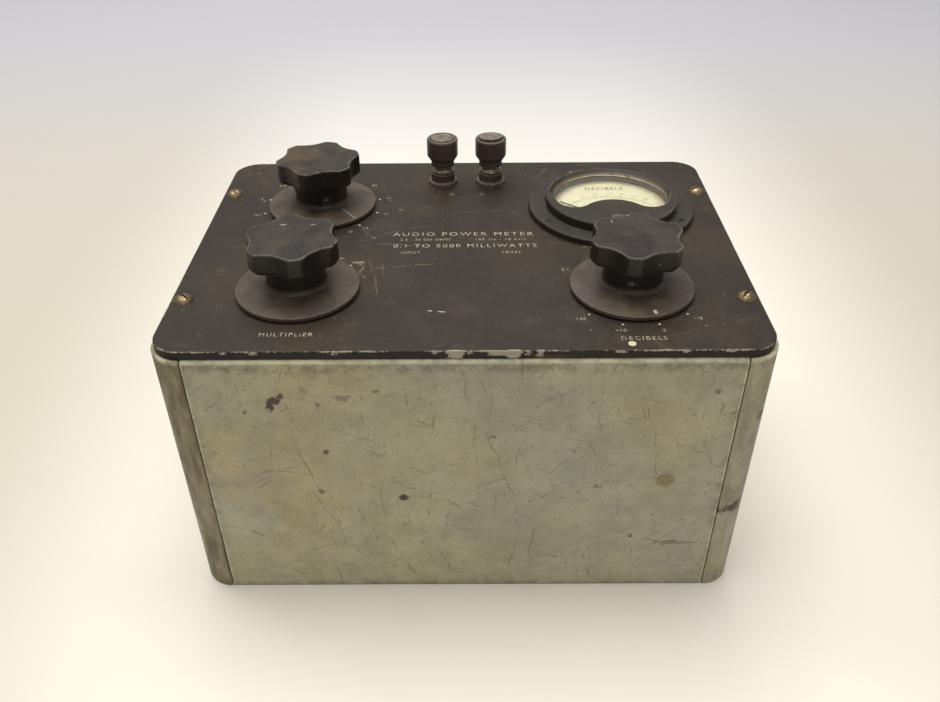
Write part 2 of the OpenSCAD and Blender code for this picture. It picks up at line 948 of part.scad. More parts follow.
// Strap over the core with a foot at each side
module transformer_clamp() {
    strap_w = 24;
    strap_t = 1.5;
    color(steel)
        translate([transformer_at[0], transformer_at[1], base_t])
            difference() {
                union() {
                    translate([-clamp_reach, -strap_w / 2, 0])
                        difference() {
                            cube([2 * clamp_reach, strap_w, foot_t + core_h + strap_t + 0.1]);
                            translate([strap_t, -cut, -cut])
                                cube([2 * (clamp_reach - strap_t), strap_w + 2 * cut,
                                      foot_t + core_h + 0.1 + cut]);
                        }
                    for (s = [0, 1])
                        mirror([s, 0, 0])
                            translate([clamp_reach - strap_t, -strap_w / 2, 0])
                                cube([foot_l, strap_w, foot_t]);
                    translate([-clamp_reach, -strap_w / 2, 0])
                        cube([2 * clamp_reach, strap_w, foot_t]);
                }
                for (p = feet_at)
                    translate([p[0] - transformer_at[0], p[1] - transformer_at[1], -cut])
                        cylinder(r = screw_r + fit, h = foot_t + 2 * cut);
            }
}

module resistor_board() {
    color(paxolin)
        difference() {
            translate([board_at[0] - board_w / 2, board_at[1] - board_l / 2, board_z])
                cube([board_w, board_l, board_t]);
            for (p = pillars_at)
                translate([p[0], p[1], board_z - cut])
                    cylinder(r = screw_r + fit, h = board_t + 2 * cut);
        }
}

module resistors() {
    rows = 6;
    color([0.55, 0.45, 0.3])
        for (i = [0:rows - 1])
            for (s = [-1, 1])
                translate([board_at[0] + s * 13 - resistor_l / 2,
                           board_at[1] + (i - (rows - 1) / 2) * 17,
                           board_z + board_t + resistor_r])
                    rotate([0, 90, 0]) {
                        cylinder(r = resistor_r - 1, h = resistor_l);
                        for (x = [0, resistor_l - 2])
                            translate([0, 0, x])
                                cylinder(r = resistor_r, h = 2);
                    }
}

module board_pillars() {
    color(brass)
        for (p = pillars_at)
            translate([p[0], p[1], base_t])
                difference() {
                    union() {
                        cylinder(r = pillar_r, h = board_z - base_t);
                        cylinder(r = screw_r, h = board_z - base_t + board_t + 0.1);
                        translate([0, 0, board_z - base_t + board_t])
                            cylinder(r = 3.4, h = 1.6);
                    }
                    translate([0, 0, -cut])
                        cylinder(r = screw_r + fit, h = 5);
                }
}

// Stack of copper oxide discs hung from the back of the meter
module rectifier() {
    color([0.45, 0.2, 0.15])
        on_panel(rectifier_at)
            translate([0, 0, -barrel_depth - 12]) {
                cylinder(r = 1.5, h = 12);
                for (i = [0:4])
                    translate([0, 0, 2 * i + 1])
                        cylinder(r = 5, h = 1.2);
            }
}

// A stiff wire along a list of points
module stiff_wire(points) {
    for (i = [0:len(points) - 2]) {
        a = points[i];
        b = points[i + 1];
        run = b - a;
        length = norm(run);
        translate(a)
            rotate([0, acos(run[2] / length), atan2(run[1], run[0])])
                cylinder(r = wire_r, h = length, $fn = 16);
    }
    for (i = [1:len(points) - 2])
        translate(points[i])
            sphere(wire_r * 1.05, $fn = 16);
}

function stud_at(at, angle) = at + stud_ring_r * [cos(angle), sin(angle)];

module link_wires() {
    stud_low = case_h - 18;
    stud_top = case_h - deck_depth + 3;
    over_deck = stud_top + 3;
    winding_back = transformer_at[1] + core_d / 2 + window_w - 0.4;
    winding_front = transformer_at[1] - core_d / 2 - window_w + 0.4;
    rectifier_low = case_h - barrel_depth - 12;
    range_stud = stud_at(range_at, range_first);
    impedance_stud = stud_at(impedance_at, impedance_first + (impedance_steps - 1) * switch_step);
    multiplier_stud = stud_at(multiplier_at, multiplier_first);
    color([0.75, 0.73, 0.68]) {
        for (s = terminal_sides) {
            x = terminal_x + s * terminal_pitch / 2;
            stiff_wire([[x, terminal_y, stud_low], [x, terminal_y, 40], [x, winding_back, 40]]);
        }
        stiff_wire([[-8, winding_front, 44], [-8, -16, 44], [-8, -16, over_deck],
                    [impedance_stud[0], -16, over_deck],
                    [impedance_stud[0], impedance_stud[1], over_deck],
                    [impedance_stud[0], impedance_stud[1], stud_top]]);
        stiff_wire([[0, winding_front, 36], [0, -24, 36], [0, -24, over_deck],
                    [multiplier_stud[0], -24, over_deck],
                    [multiplier_stud[0], multiplier_stud[1], over_deck],
                    [multiplier_stud[0], multiplier_stud[1], stud_top]]);
        stiff_wire([[8, winding_front, 44], [8, -58, 44], [8, -58, over_deck],
                    [range_stud[0], -58, over_deck], [range_stud[0], range_stud[1], over_deck],
                    [range_stud[0], range_stud[1], stud_top]]);
        stiff_wire([[12, winding_front, 30], [12, -10, 30], [rectifier_at[0], -10, 30],
                    [rectifier_at[0], rectifier_at[1], 30],
                    [rectifier_at[0], rectifier_at[1], rectifier_low]]);
    }
}

post(-1, -1);  // post_front_left
post(1, -1);  // post_front_right
post(-1, 1);  // post_back_left
post(1, 1);  // post_back_right
end_sheet(0);  // front_sheet
end_sheet(180);  // back_sheet
side_sheet(-90);  // left_sheet
side_sheet(90);  // right_sheet
base_plate();
base_screws();
panel_bushes();
top_panel();
panel_screws();
switch_bushes();
bush_nuts();
switch_decks();
contact_studs();
shaft(impedance_at);  // impedance_shaft
shaft(multiplier_at);  // multiplier_shaft
shaft(range_at);  // range_shaft
knob(impedance_at, -102, impedance_index - 25);  // impedance_knob
knob(multiplier_at, -80, multiplier_index - 25);  // multiplier_knob
knob(range_at, -100, range_index - 25);  // range_knob
knob_screw(impedance_at, impedance_index - 25);  // impedance_knob_screw
knob_screw(multiplier_at, multiplier_index - 25);  // multiplier_knob_screw
knob_screw(range_at, range_index - 25);  // range_knob_screw
wiper(impedance_at, impedance_index);  // impedance_wiper
wiper(multiplier_at, multiplier_index);  // multiplier_wiper
wiper(range_at, range_index);  // range_wiper
terminal_bases();
terminal_studs();
terminal_insulators();
terminal_nuts();
terminal_cap(-1);  // terminal_cap_left
terminal_cap(1);  // terminal_cap_right
terminal_clamp(-1);  // terminal_clamp_left
terminal_clamp(1);  // terminal_clamp_right
terminal_disc(-1);  // terminal_disc_left
terminal_disc(1);  // terminal_disc_right
meter_bezel();
meter_glass();
meter_dial();
meter_case();
meter_screws();
meter_magnet();
meter_core();
meter_bridge();
meter_terminals();
meter_coil();
meter_pointer();
meter_hairspring();
zero_adjuster();
transformer_core();
transformer_winding();
transformer_clamp();
resistor_board();
resistors();
board_pillars();
rectifier();
link_wires();
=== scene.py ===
import json
import math
import bmesh
import bpy
from mathutils import Euler, Matrix, Vector


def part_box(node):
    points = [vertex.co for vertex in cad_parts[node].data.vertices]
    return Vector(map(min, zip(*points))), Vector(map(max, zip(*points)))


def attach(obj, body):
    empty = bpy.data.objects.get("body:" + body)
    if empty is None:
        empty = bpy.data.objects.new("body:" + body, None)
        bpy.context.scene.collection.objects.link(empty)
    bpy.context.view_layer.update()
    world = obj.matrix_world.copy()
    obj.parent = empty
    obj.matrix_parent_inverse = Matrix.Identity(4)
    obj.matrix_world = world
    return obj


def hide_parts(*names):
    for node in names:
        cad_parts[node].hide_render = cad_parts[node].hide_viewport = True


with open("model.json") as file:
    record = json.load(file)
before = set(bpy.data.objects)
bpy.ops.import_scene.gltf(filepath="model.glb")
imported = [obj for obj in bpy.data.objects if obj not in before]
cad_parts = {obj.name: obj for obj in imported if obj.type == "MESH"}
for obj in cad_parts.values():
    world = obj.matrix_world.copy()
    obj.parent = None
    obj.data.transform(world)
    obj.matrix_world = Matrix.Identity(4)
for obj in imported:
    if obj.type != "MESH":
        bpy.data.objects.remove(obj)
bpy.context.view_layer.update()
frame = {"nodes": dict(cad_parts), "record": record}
nodes = frame["nodes"]
scene = bpy.context.scene
mm = 0.001


def boxOf(node):
    low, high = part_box(node)
    return Vector(low) / mm, Vector(high) / mm


def middleOf(node):
    low, high = boxOf(node)
    return (low + high) / 2


panelLow, panelHigh = boxOf("top_panel")
panelTop = panelHigh.z
panelUnder = panelLow.z
halfWide, halfDeep = panelHigh.x, panelHigh.y
sheetReach = (boxOf("right_sheet")[1].x, boxOf("back_sheet")[1].y)  # outer faces, past the panel's edge
panelCorner, sheetSeam = 12.7, 0.4  # round corners, and the open seam between a sheet and its post
endLength = 2 * (halfWide - panelCorner - sheetSeam)
sideLength = 2 * (halfDeep - panelCorner - sheetSeam)
print("frame loaded")


def roundCorners(points, steps=6, closed=True):
    # each point is (x, y) or (x, y, radius), in millimetres as all shapes are until they become objects
    out = []
    count = len(points)
    for i, p in enumerate(points):
        radius = p[2] if len(p) > 2 else 0
        here = Vector(p[:2])
        if radius <= 0 or (not closed and i in (0, count - 1)):
            out.append(here)
            continue
        before = (Vector(points[i - 1][:2]) - here).normalized()
        after = (Vector(points[(i + 1) % count][:2]) - here).normalized()
        half = before.angle(after) / 2
        if half > math.pi / 2 - 0.02:
            out.append(here)
            continue
        reach = radius / math.tan(half)
        centre = here + (before + after).normalized() * (radius / math.sin(half))
        start, end = here + before * reach - centre, here + after * reach - centre
        sweep = start.angle_signed(end)
        for k in range(steps + 1):
            turn = -sweep * k / steps
            c, s = math.cos(turn), math.sin(turn)
            out.append(centre + Vector((start.x * c - start.y * s, start.x * s + start.y * c)))
    return out


def arc(centre, radius, start, end, steps):
    spots = [math.radians(start + (end - start) * k / steps) for k in range(steps + 1)]
    return [Vector((centre[0] + radius * math.cos(a), centre[1] + radius * math.sin(a))) for a in spots]


def bridge(bm, low, high):
    count = len(low)
    for i in range(count):
        j = (i + 1) % count
        bm.faces.new((low[i], low[j], high[j], high[i]))


def addRings(bm, rings, closed=False):
    # rings of equal length, lofted in order; a ring of one point closes to a tip
    made = [[bm.verts.new(p) for p in ring] for ring in rings]
    pairs = list(zip(made, made[1:]))
    if closed:
        pairs.append((made[-1], made[0]))
    for low, high in pairs:
        if len(low) == 1:
            for i in range(len(high)):
                bm.faces.new((low[0], high[(i + 1) % len(high)], high[i]))
        elif len(high) == 1:
            for i in range(len(low)):
                bm.faces.new((low[i], low[(i + 1) % len(low)], high[0]))
        else:
            bridge(bm, low, high)
    if not closed:
        for ring in (made[0], made[-1]):
            if len(ring) > 2:
                bm.faces.new(ring)


def addTurned(bm, profile, centre, steps=96, wave=None):
    # profile of (radius, height) points; it closes on itself where no end is on the axis
    rings = []
    for r, z in (point[:2] for point in profile):
        if r < 0.001:
            rings.append([(centre[0], centre[1], centre[2] + z)])
            continue
        ring = []
        for k in range(steps):
            a = 2 * math.pi * k / steps
            rr = wave(r, z, a) if wave else r
            ring.append((centre[0] + rr * math.cos(a), centre[1] + rr * math.sin(a), centre[2] + z))
        rings.append(ring)
    onAxis = len(rings[0]) == 1 or len(rings[-1]) == 1
    addRings(bm, rings, closed=not onAxis)


def addPrism(bm, outline, low, high):
    addRings(bm, [[(p[0], p[1], z) for p in outline] for z in (low, high)])


def smoothFaces(mesh, sharpAngle=32):
    for face in mesh.polygons:
        face.use_smooth = True
    mesh.set_sharp_from_angle(angle=math.radians(sharpAngle))


def meshObject(name, bm, place=None):
    bmesh.ops.recalc_face_normals(bm, faces=bm.faces)
    mesh = bpy.data.meshes.new(name)
    bm.to_mesh(mesh)
    bm.free()
    if place:
        mesh.transform(place)
    mesh.transform(Matrix.Scale(mm, 4))
    obj = bpy.data.objects.new(name, mesh)
    scene.collection.objects.link(obj)
    return obj


def makePiece(name, bm, body, material, stands=(), bevel=0, bevelSteps=2, place=None):
    # stands are the frame's nodes that this piece is shown instead of
    bmesh.ops.remove_doubles(bm, verts=bm.verts, dist=0.0005)
    obj = meshObject(name, bm, place)
    obj.data.materials.append(material)
    if bevel:
        edges = obj.modifiers.new("softEdges", "BEVEL")
        edges.width = bevel * mm
        edges.segments = bevelSteps
        edges.limit_method = "ANGLE"
        edges.angle_limit = math.radians(38)
        edges.use_clamp_overlap = True
    smoothFaces(obj.data)
    weights = obj.modifiers.new("evenShading", "WEIGHTED_NORMAL")
    weights.keep_sharp = True
    weights.weight = 80
    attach(obj, body)
    if stands:
        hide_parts(*stands)
    return obj


def carve(obj, cutter):
    # cuts one finished mesh out of another and leaves plain geometry
    cut = obj.modifiers.new("carve", "BOOLEAN")
    cut.operation = "DIFFERENCE"
    cut.solver = "EXACT"
    cut.object = cutter
    while obj.modifiers[0] != cut:
        obj.modifiers.move(len(obj.modifiers) - 1, 0)
    graph = bpy.context.evaluated_depsgraph_get()
    others = [(m, m.show_viewport) for m in obj.modifiers if m != cut]
    for m, _ in others:
        m.show_viewport = False
    graph.update()
    carved = bpy.data.meshes.new_from_object(obj.evaluated_get(graph))
    for m, shown in others:
        m.show_viewport = shown
    old = obj.data
    obj.modifiers.remove(cut)
    obj.data = carved
    bpy.data.meshes.remove(old)
    bpy.data.objects.remove(cutter)
    smoothFaces(obj.data)


class recipe:
    # the nodes of one material or group; colour is what its layers so far add up to
    def __init__(self, tree, colour=None, material=None):
        self.tree = tree
        self.colour = colour
        self.material = material

    def wire(self, value, socket):
        if isinstance(value, bpy.types.NodeSocket):
            self.tree.links.new(value, socket)
        else:
            socket.default_value = value

    def put(self, kind, values, **props):
        node = self.tree.nodes.new("ShaderNode" + kind)
        for key, value in props.items():
            setattr(node, key, value)
        for key, value in values.items():
            self.wire(value, node.inputs[key])
        return node

    def use(self, group, **values):
        return self.put("Group", values, node_tree=group).outputs[0]

    def sums(self, operation, a, b=0.0):
        return self.put("Math", {0: a, 1: b}, operation=operation).outputs[0]

    def plus(self, a, b):
        return self.sums("ADD", a, b)

    def minus(self, a, b):
        return self.sums("SUBTRACT", a, b)

    def times(self, a, b):
        return self.sums("MULTIPLY", a, b)

    def most(self, *values):
        total = values[0]
        for value in values[1:]:
            total = self.sums("MAXIMUM", total, value)
        return total

    def vectors(self, operation, a, b):
        return self.put("VectorMath", {0: a, 1: b}, operation=operation).outputs["Vector"]

    def scaled(self, a, factor):
        return self.put("VectorMath", {0: a, "Scale": factor}, operation="SCALE").outputs["Vector"]

    def length(self, a):
        return self.put("VectorMath", {0: a}, operation="LENGTH").outputs["Value"]

    def axes(self, place):
        return self.put("SeparateXYZ", {0: place}).outputs

    def joinAxes(self, x, y, z):
        return self.put("CombineXYZ", {0: x, 1: y, 2: z}).outputs[0]

    def noise(self, place, scale, detail, rough=0.5, output=0):
        values = {"Vector": place, "Scale": scale, "Detail": detail, "Roughness": rough}
        return self.put("TexNoise", values).outputs[output]

    def spread(self, value, low, high, toLow=0.0, toHigh=1.0):
        values = {"Value": value, "From Min": low, "From Max": high, "To Min": toLow, "To Max": toHigh}
        return self.put("MapRange", values, interpolation_type="SMOOTHSTEP").outputs["Result"]

    def blend(self, amount, under, over, mode="MIX"):
        return self.put("Mix", {0: amount, 6: under, 7: over}, data_type="RGBA", blend_type=mode).outputs[2]

    def tint(self, over, mask, amount=1.0):
        # one more layer of colour, as strong as its mask
        self.colour = self.blend(mask if amount == 1.0 else self.times(mask, amount), self.colour, over)

    def shade(self, factor):
        self.colour = self.blend(1.0, self.colour, self.joinAxes(factor, factor, factor), "MULTIPLY")

    def place(self, plane="XYZ"):
        # object coordinates in millimetres; a plane such as XZ lays them flat for marks
        solid = self.scaled(self.put("TexCoord", {}).outputs["Object"], 1 / mm)
        if plane == "XYZ":
            return solid
        parts = dict(zip("XYZ", self.axes(solid)))
        rest = next(axis for axis in "XYZ" if axis not in plane)
        return self.joinAxes(parts[plane[0]], parts[plane[1]], parts[rest])

    def pushed(self, place, scale, reach, detail=2.0):
        # the same place, moved about in its plane so that marks come out wavy or ragged
        noise = self.noise(place, scale, detail, 0.6, "Color")
        push = self.scaled(self.vectors("SUBTRACT", noise, (0.5, 0.5, 0.5)), reach)
        return self.vectors("MULTIPLY", self.vectors("ADD", place, push), (1, 1, 0))

    def strokes(self, place, strokes, reach=5.0, thin=1.0):
        # each stroke is x0, y0, x1, y1, width, strength
        wavy = self.pushed(place, 0.09, reach)
        masks = []
        for x0, y0, x1, y1, width, strength in strokes:
            half = math.hypot(x1 - x0, y1 - y0) / 2 + width * thin
            turn = (0, 0, math.atan2(y1 - y0, x1 - x0))
            masks.append(self.use(oneMark, Place=wavy, Centre=((x0 + x1) / 2, (y0 + y1) / 2, 0), Turn=turn,
                                  Size=(half, width * thin, 1), Strength=strength))
        broken = self.noise(place, 0.4, 3.0)
        return self.times(self.most(*masks), self.spread(broken, 0.32, 0.5))

    def spots(self, place, spots, reach=4.0, soft=0.35):
        # each spot is x, y, half width, half height, strength
        ragged = self.pushed(place, 0.3, reach, 5.0)
        return self.most(*[self.use(oneMark, Place=ragged, Centre=(x, y, 0), Size=(wide, high, 1),
                                    Strength=strength, Soft=soft) for x, y, wide, high, strength in spots])

    def finished(self, rough, relief=None, strength=0.2, distance=0.0001, **sockets):
        # sockets are more inputs of the shader, such as metallic or ior
        shader = self.tree.nodes["Principled BSDF"]
        self.wire(self.colour, shader.inputs["Base Color"])
        self.wire(rough, shader.inputs["Roughness"])
        for key, value in sockets.items():
            self.wire(value, shader.inputs[shaderInputs[key]])
        if relief:
            bump = self.put("Bump", {"Height": relief, "Strength": strength, "Distance": distance})
            self.wire(bump.outputs[0], shader.inputs["Normal"])
        return self.material


shaderInputs = {"metallic": "Metallic", "specular": "Specular IOR Level", "clear": "Transmission Weight",
                "ior": "IOR"}


def newMaterial(name, colour=None):
    material = bpy.data.materials.new(name)
    material.use_nodes = True
    return recipe(material.node_tree, colour, material)


def rgb(hexed):
    # sRGB written as hex, to linear
    parts = [int(hexed[i:i + 2], 16) / 255 for i in (0, 2, 4)]
    return tuple(p / 12.92 if p <= 0.04045 else ((p + 0.055) / 1.055) ** 2.4 for p in parts) + (1.0,)


def newGroup(name, places=("Place",), **floats):
    # a group of nodes that works out one mask
    tree = bpy.data.node_groups.new(name, "ShaderNodeTree")
    for label in places:
        tree.interface.new_socket(label, in_out="INPUT", socket_type="NodeSocketVector")
    for label, value in floats.items():
        socket = tree.interface.new_socket(label, in_out="INPUT", socket_type="NodeSocketFloat")
        socket.default_value = value
    tree.interface.new_socket("Mask", in_out="OUTPUT", socket_type="NodeSocketFloat")
    return recipe(tree), tree.nodes.new("NodeGroupInput").outputs


def closeGroup(mix, mask):
    mix.wire(mask, mix.tree.nodes.new("NodeGroupOutput").inputs["Mask"])
    return mix.tree


def blotchGroup():
    # soft irregular patches
    mix, given = newGroup("blotches", Scale=0.1, Low=0.45, High=0.6, Rough=0.6)
    noise = mix.noise(given["Place"], given["Scale"], 6.0, given["Rough"])
    return closeGroup(mix, mix.spread(noise, given["Low"], given["High"]))


def hairlineGroup():
    # fine hairlines in three directions, gently bent
    mix, given = newGroup("hairlines", Scale=0.9, Stretch=0.06, Low=0.6, High=0.7)
    bend = mix.noise(given["Place"], 0.04, 0.0, output="Color")
    bent = mix.vectors("ADD", given["Place"], mix.scaled(bend, 14.0))
    layers = []
    for turn in (0.45, 1.5, 2.55):
        turned = mix.put("VectorRotate", {"Vector": bent, "Angle": turn}, rotation_type="Z_AXIS").outputs[0]
        parts = mix.axes(turned)
        squeezed = mix.joinAxes(mix.times(parts[0], given["Stretch"]), parts[1], parts[2])
        layers.append(mix.noise(squeezed, given["Scale"], 1.0))
    return closeGroup(mix, mix.spread(mix.most(*layers), given["Low"], given["High"]))


def strayLineGroup():
    # long straight scratches: cell borders, broken up so that most of each is missing
    mix, given = newGroup("strayLines", Scale=0.03, Width=0.006, Keep=0.5)
    bend = mix.noise(given["Place"], 0.03, 1.0, output="Color")
    bent = mix.vectors("ADD", given["Place"], mix.scaled(bend, 12.0))
    cells = mix.put("TexVoronoi", {"Vector": bent, "Scale": given["Scale"]}, feature="DISTANCE_TO_EDGE")
    line = mix.spread(cells.outputs["Distance"], mix.times(given["Width"], 0.2), given["Width"], 1, 0)
    gaps = mix.noise(given["Place"], 0.06, 3.0)
    kept = mix.spread(gaps, mix.minus(1.0, given["Keep"]), mix.minus(1.06, given["Keep"]))
    return closeGroup(mix, mix.times(line, kept))


def oneMarkGroup():
    # a spindle-shaped mark: long and thin for a scratch, round for a spot
    mix, given = newGroup("oneMark", ("Place", "Centre", "Turn", "Size"), Strength=1.0, Soft=0.35)
    values = {"Vector": given["Place"], "Location": given["Centre"], "Rotation": given["Turn"],
              "Scale": given["Size"]}
    local = mix.put("Mapping", values, vector_type="TEXTURE").outputs[0]
    depth = mix.put("TexGradient", {"Vector": local}, gradient_type="SPHERICAL").outputs["Fac"]
    return closeGroup(mix, mix.times(mix.spread(depth, 0.0, given["Soft"]), given["Strength"]))


def edgeWearGroup():
    # where an edge is sharp and rubbed: the rounded normal leaves the true one
    mix, given = newGroup("edgeWear", Width=0.0006, Scale=0.4, Amount=0.5)
    rounded = mix.put("Bevel", {"Radius": given["Width"]}, samples=4).outputs[0]
    true = mix.put("NewGeometry", {}).outputs["Normal"]
    match = mix.put("VectorMath", {0: rounded, 1: true}, operation="DOT_PRODUCT").outputs["Value"]
    sharp = mix.spread(mix.minus(1.0, match), 0.006, 0.07)
    noise = mix.noise(given["Place"], given["Scale"], 4.0, 0.7)
    gate = mix.minus(1.0, given["Amount"])
    return closeGroup(mix, mix.times(sharp, mix.spread(noise, mix.minus(gate, 0.08), mix.plus(gate, 0.06))))


def speckGroup():
    # scattered small dots
    mix, given = newGroup("specks", Scale=0.2, Size=0.1, Few=0.8)
    cells = mix.put("TexVoronoi", {"Vector": given["Place"], "Scale": given["Scale"]})
    dot = mix.spread(cells.outputs["Distance"], mix.times(given["Size"], 0.5), given["Size"], 1, 0)
    chosen = mix.sums("GREATER_THAN", mix.axes(cells.outputs["Color"])[0], given["Few"])
    return closeGroup(mix, mix.times(dot, chosen))


blotches = blotchGroup()
hairlines = hairlineGroup()
strayLines = strayLineGroup()
oneMark = oneMarkGroup()
edgeWear = edgeWearGroup()
specks = speckGroup()


casePaint = dict(
    # dirt also colours painted shade: a contact shadow along the case's bottom edge
    paint=rgb("9F997C"), cool=rgb("969482"), warm=rgb("A2946C"), dirt=rgb("483B29"), scratch=rgb("5C5440"),
    # glint is a painted highlight on the sheets' top bend and along their edges at the seams
    glint=rgb("C4BE9E"), rust=rgb("3A271A"), stain=rgb("7D6C45"), brown=rgb("86764F"), cloud=rgb("7F7D70"),
    rough=0.42, strokeWidth=0.62,
    strokes=[  # x0, z0, x1, z1, width, strength
        (-38, 38, -29, 18, 0.5, 0.9), (-30, 20, -21, 1, 0.55, 1), (8, 100, 16, 78, 0.5, 0.9),
        (15, 80, 22, 58, 0.5, 0.8), (22, 60, 25, 34, 0.45, 0.8), (24, 36, 20, 8, 0.45, 0.8),
        (-2, 134, 3, 108, 0.4, 0.8), (3, 110, 6, 70, 0.35, 0.6), (-6, 62, -10, 34, 0.4, 0.6),
        (72, 120, 79, 102, 0.5, 0.9), (78, 104, 83, 88, 0.5, 0.9), (83, 90, 83, 66, 0.4, 0.8),
        (40, 106, 53, 92, 0.5, 0.7), (52, 94, 60, 80, 0.5, 0.7), (59, 82, 61, 62, 0.4, 0.6),
        (57, 87, 84, 84, 0.35, 0.6), (-73, 92, -66, 66, 0.55, 0.9), (-69, 64, -62, 50, 0.6, 0.9),
        (-63, 52, -56, 34, 0.55, 0.8), (-77, 126, -70, 98, 0.45, 0.8), (78, 31.5, 111, 28.5, 1.0, 1),
        (86, 29.5, 104, 28, 0.9, 0.9), (-44, 89, -34, 84, 0.5, 0.8), (12, 128, 9, 92, 0.35, 0.6),
        (-14, 26, -6, 8, 0.7, 0.6), (-92, 60, -74, 52, 0.35, 0.6), (30, 52, 44, 74, 0.35, 0.6),
        (-28, 108, -8, 118, 0.35, 0.6), (-54, 20, -40, 44, 0.35, 0.5), (88, 100, 96, 76, 0.35, 0.6),
    ],
    spots=[  # x, z, half width, half height, strength
        (-78.3, 115.8, 3.6, 2.3, 1), (-81, 113, 1.8, 2.6, 1), (-75.5, 118.5, 1.5, 2.4, 0.9),
        (-27.8, 60, 2.4, 2.0, 1), (-59.5, 87.5, 1.6, 1.3, 0.9), (-61, 114, 1.4, 1.2, 0.6),
        (-36, 121, 1.6, 1.1, 0.6), (58, 66, 1.8, 1.3, 0.6), (-64, 64, 1.5, 1.1, 0.7),
        (76, 34, 1.3, 1.2, 0.8), (-92, 110, 1.0, 1.0, 0.7), (12, 96, 1.2, 0.9, 0.6),
        (103, 120, 1.8, 1.2, 0.6),
    ],
    greySpots=[(-50.3, 117.5, 3.4, 2.6, 0.6), (-66, 121, 2.2, 1.6, 0.4), (40, 119, 2.2, 1.4, 0.4)],
    roundStain=[(88, 70, 5.0, 4.9, 1)],
    clouds=[(-92, 70, 22, 16, 0.5), (-104, 112, 10, 24, 0.6), (18, 42, 46, 34, 0.55),
            (78, 118, 40, 12, 0.45)],
    rightPostSpots=[(-81, 59, 2.6, 3.2, 1), (-89, 51, 2.8, 4.0, 1), (-80, 96, 2.2, 3.4, 0.9),
                    (-82, 74, 2.0, 5.0, 0.8), (-86, 104, 2.6, 2.6, 0.8), (-80, 118, 1.8, 4.0, 0.8)],
)


def paintMaterial(name, plane, length=0.0, front=False, spots=(), smear=0.0, shade=1.0):
    # length is how wide a sheet is, so that its own ends can be found
    look = casePaint
    mix = newMaterial(name, look["paint"])
    flat, solid = mix.place(plane), mix.place()
    across, height = mix.axes(flat)[0], mix.axes(solid)[2]
    mix.tint(look["cool"], mix.use(blotches, Place=solid, Scale=0.012, Low=0.36, High=0.68))
    leftward = 1.0 if smear else 0.6
    if front:
        leftward = mix.spread(across, 60, -110, 0.35, 0.9)
    mix.tint(look["warm"], mix.use(blotches, Place=solid, Scale=0.02, Low=0.44, High=0.74), leftward)
    grain = mix.noise(solid, 0.9, 4.0, 0.75)
    cloudy = mix.spread(mix.noise(solid, 0.07, 5.0, 0.68), 0.3, 0.7, 0.86, 1.1)
    # shade below 1 darkens the whole paint: painted shade on a post turned from the light, with its own
    # browner paint added further down
    mottle = mix.times(mix.spread(grain, 0.28, 0.74, 0.84 * shade, 1.1 * shade), cloudy)
    # the paint is also drawn lighter towards the bottom, by up to about an eighth
    mix.shade(mix.times(mottle, mix.spread(height, 10, 110, 1.13, 1.0)))
    if front:
        mix.tint(look["cloud"], mix.spots(flat, look["clouds"], 26.0, 1.0), 0.5)
    hair = mix.use(hairlines, Place=flat, Scale=0.8, Stretch=0.03, Low=0.67, High=0.8)
    mix.tint(look["scratch"], hair, 0.5)
    elsewhere = mix.vectors("ADD", flat, (37, 91, 0))
    long = mix.use(hairlines, Place=elsewhere, Scale=0.5, Stretch=0.013, Low=0.715, High=0.765)
    mix.tint(look["scratch"], long, 0.5)

    # dirt and painted shade: dirt in a ragged band under the top bend, in flecks and smeared down a post; the
    # paint is also darker along the foot and near the ends, and a painted contact shadow runs along the very
    # bottom edge
    ragged = mix.use(blotches, Place=solid, Scale=0.16, Low=0.42, High=0.6, Rough=0.7)
    under = mix.times(mix.spread(height, panelUnder - 8, panelUnder - 3.5),
                      mix.spread(height, panelUnder - 1.4, panelUnder - 2.6))
    bands = [mix.times(under, 0.6), mix.times(mix.spread(height, 4, 1), 0.5)]
    if length:
        fromEnd = mix.minus(length / 2, mix.sums("ABSOLUTE", across))
        bands.append(mix.times(mix.spread(fromEnd, 5, 1), 0.35))
    flecks = mix.most(mix.use(specks, Place=solid, Scale=0.17, Size=0.12, Few=0.74),
                      mix.use(specks, Place=solid, Scale=0.45, Size=0.17, Few=0.8))
    bands = mix.times(mix.most(*bands), ragged)
    # the last term is painted shade: a dark contact line along the bottom edge, where the case meets the
    # floor
    dirt = mix.most(bands, mix.times(flecks, 0.55), mix.spread(height, 0.9, 0.3))
    if smear:
        drawnOut = mix.vectors("MULTIPLY", solid, (1, 1, 0.3))
        smeared = mix.use(blotches, Place=drawnOut, Scale=0.16, Low=0.36, High=0.66)
        dirt = mix.most(dirt, mix.times(smeared, smear))
        mix.tint(look["brown"], (1 - shade) * 1.4)
    mix.tint(look["dirt"], dirt, 0.8)

    if front:
        mix.tint(look["scratch"], mix.strokes(flat, look["strokes"], thin=look["strokeWidth"]), 0.8)
        mix.tint(look["scratch"], mix.spots(flat, look["greySpots"], 8.0))
        stain = mix.spots(flat, look["roundStain"], 1.2)
        mix.tint(look["stain"], stain, mix.spread(grain, 0.3, 0.6, 0.7, 1.0))
        spots = look["spots"]
    if spots:
        mix.tint(look["rust"], mix.spots(flat, spots, 7.0))
    # painted highlight: the top bend and the sheet's edges at the seams are drawn lighter, as if they catch
    # the light, broken up by the ragged mask
    shoulder = mix.spread(height, panelUnder - 1.9, panelUnder - 0.9)
    if length:
        shoulder = mix.most(shoulder, mix.spread(fromEnd, 0.9, 0.4))
    mix.tint(look["glint"], shoulder, mix.minus(1.0, mix.times(ragged, 0.7)))
    rough = mix.spread(grain, 0.3, 0.7, look["rough"] - 0.06, look["rough"] + 0.12)
    return mix.finished(mix.plus(rough, mix.times(dirt, 0.2)), mix.minus(grain, hair), 0.25, 0.0002)
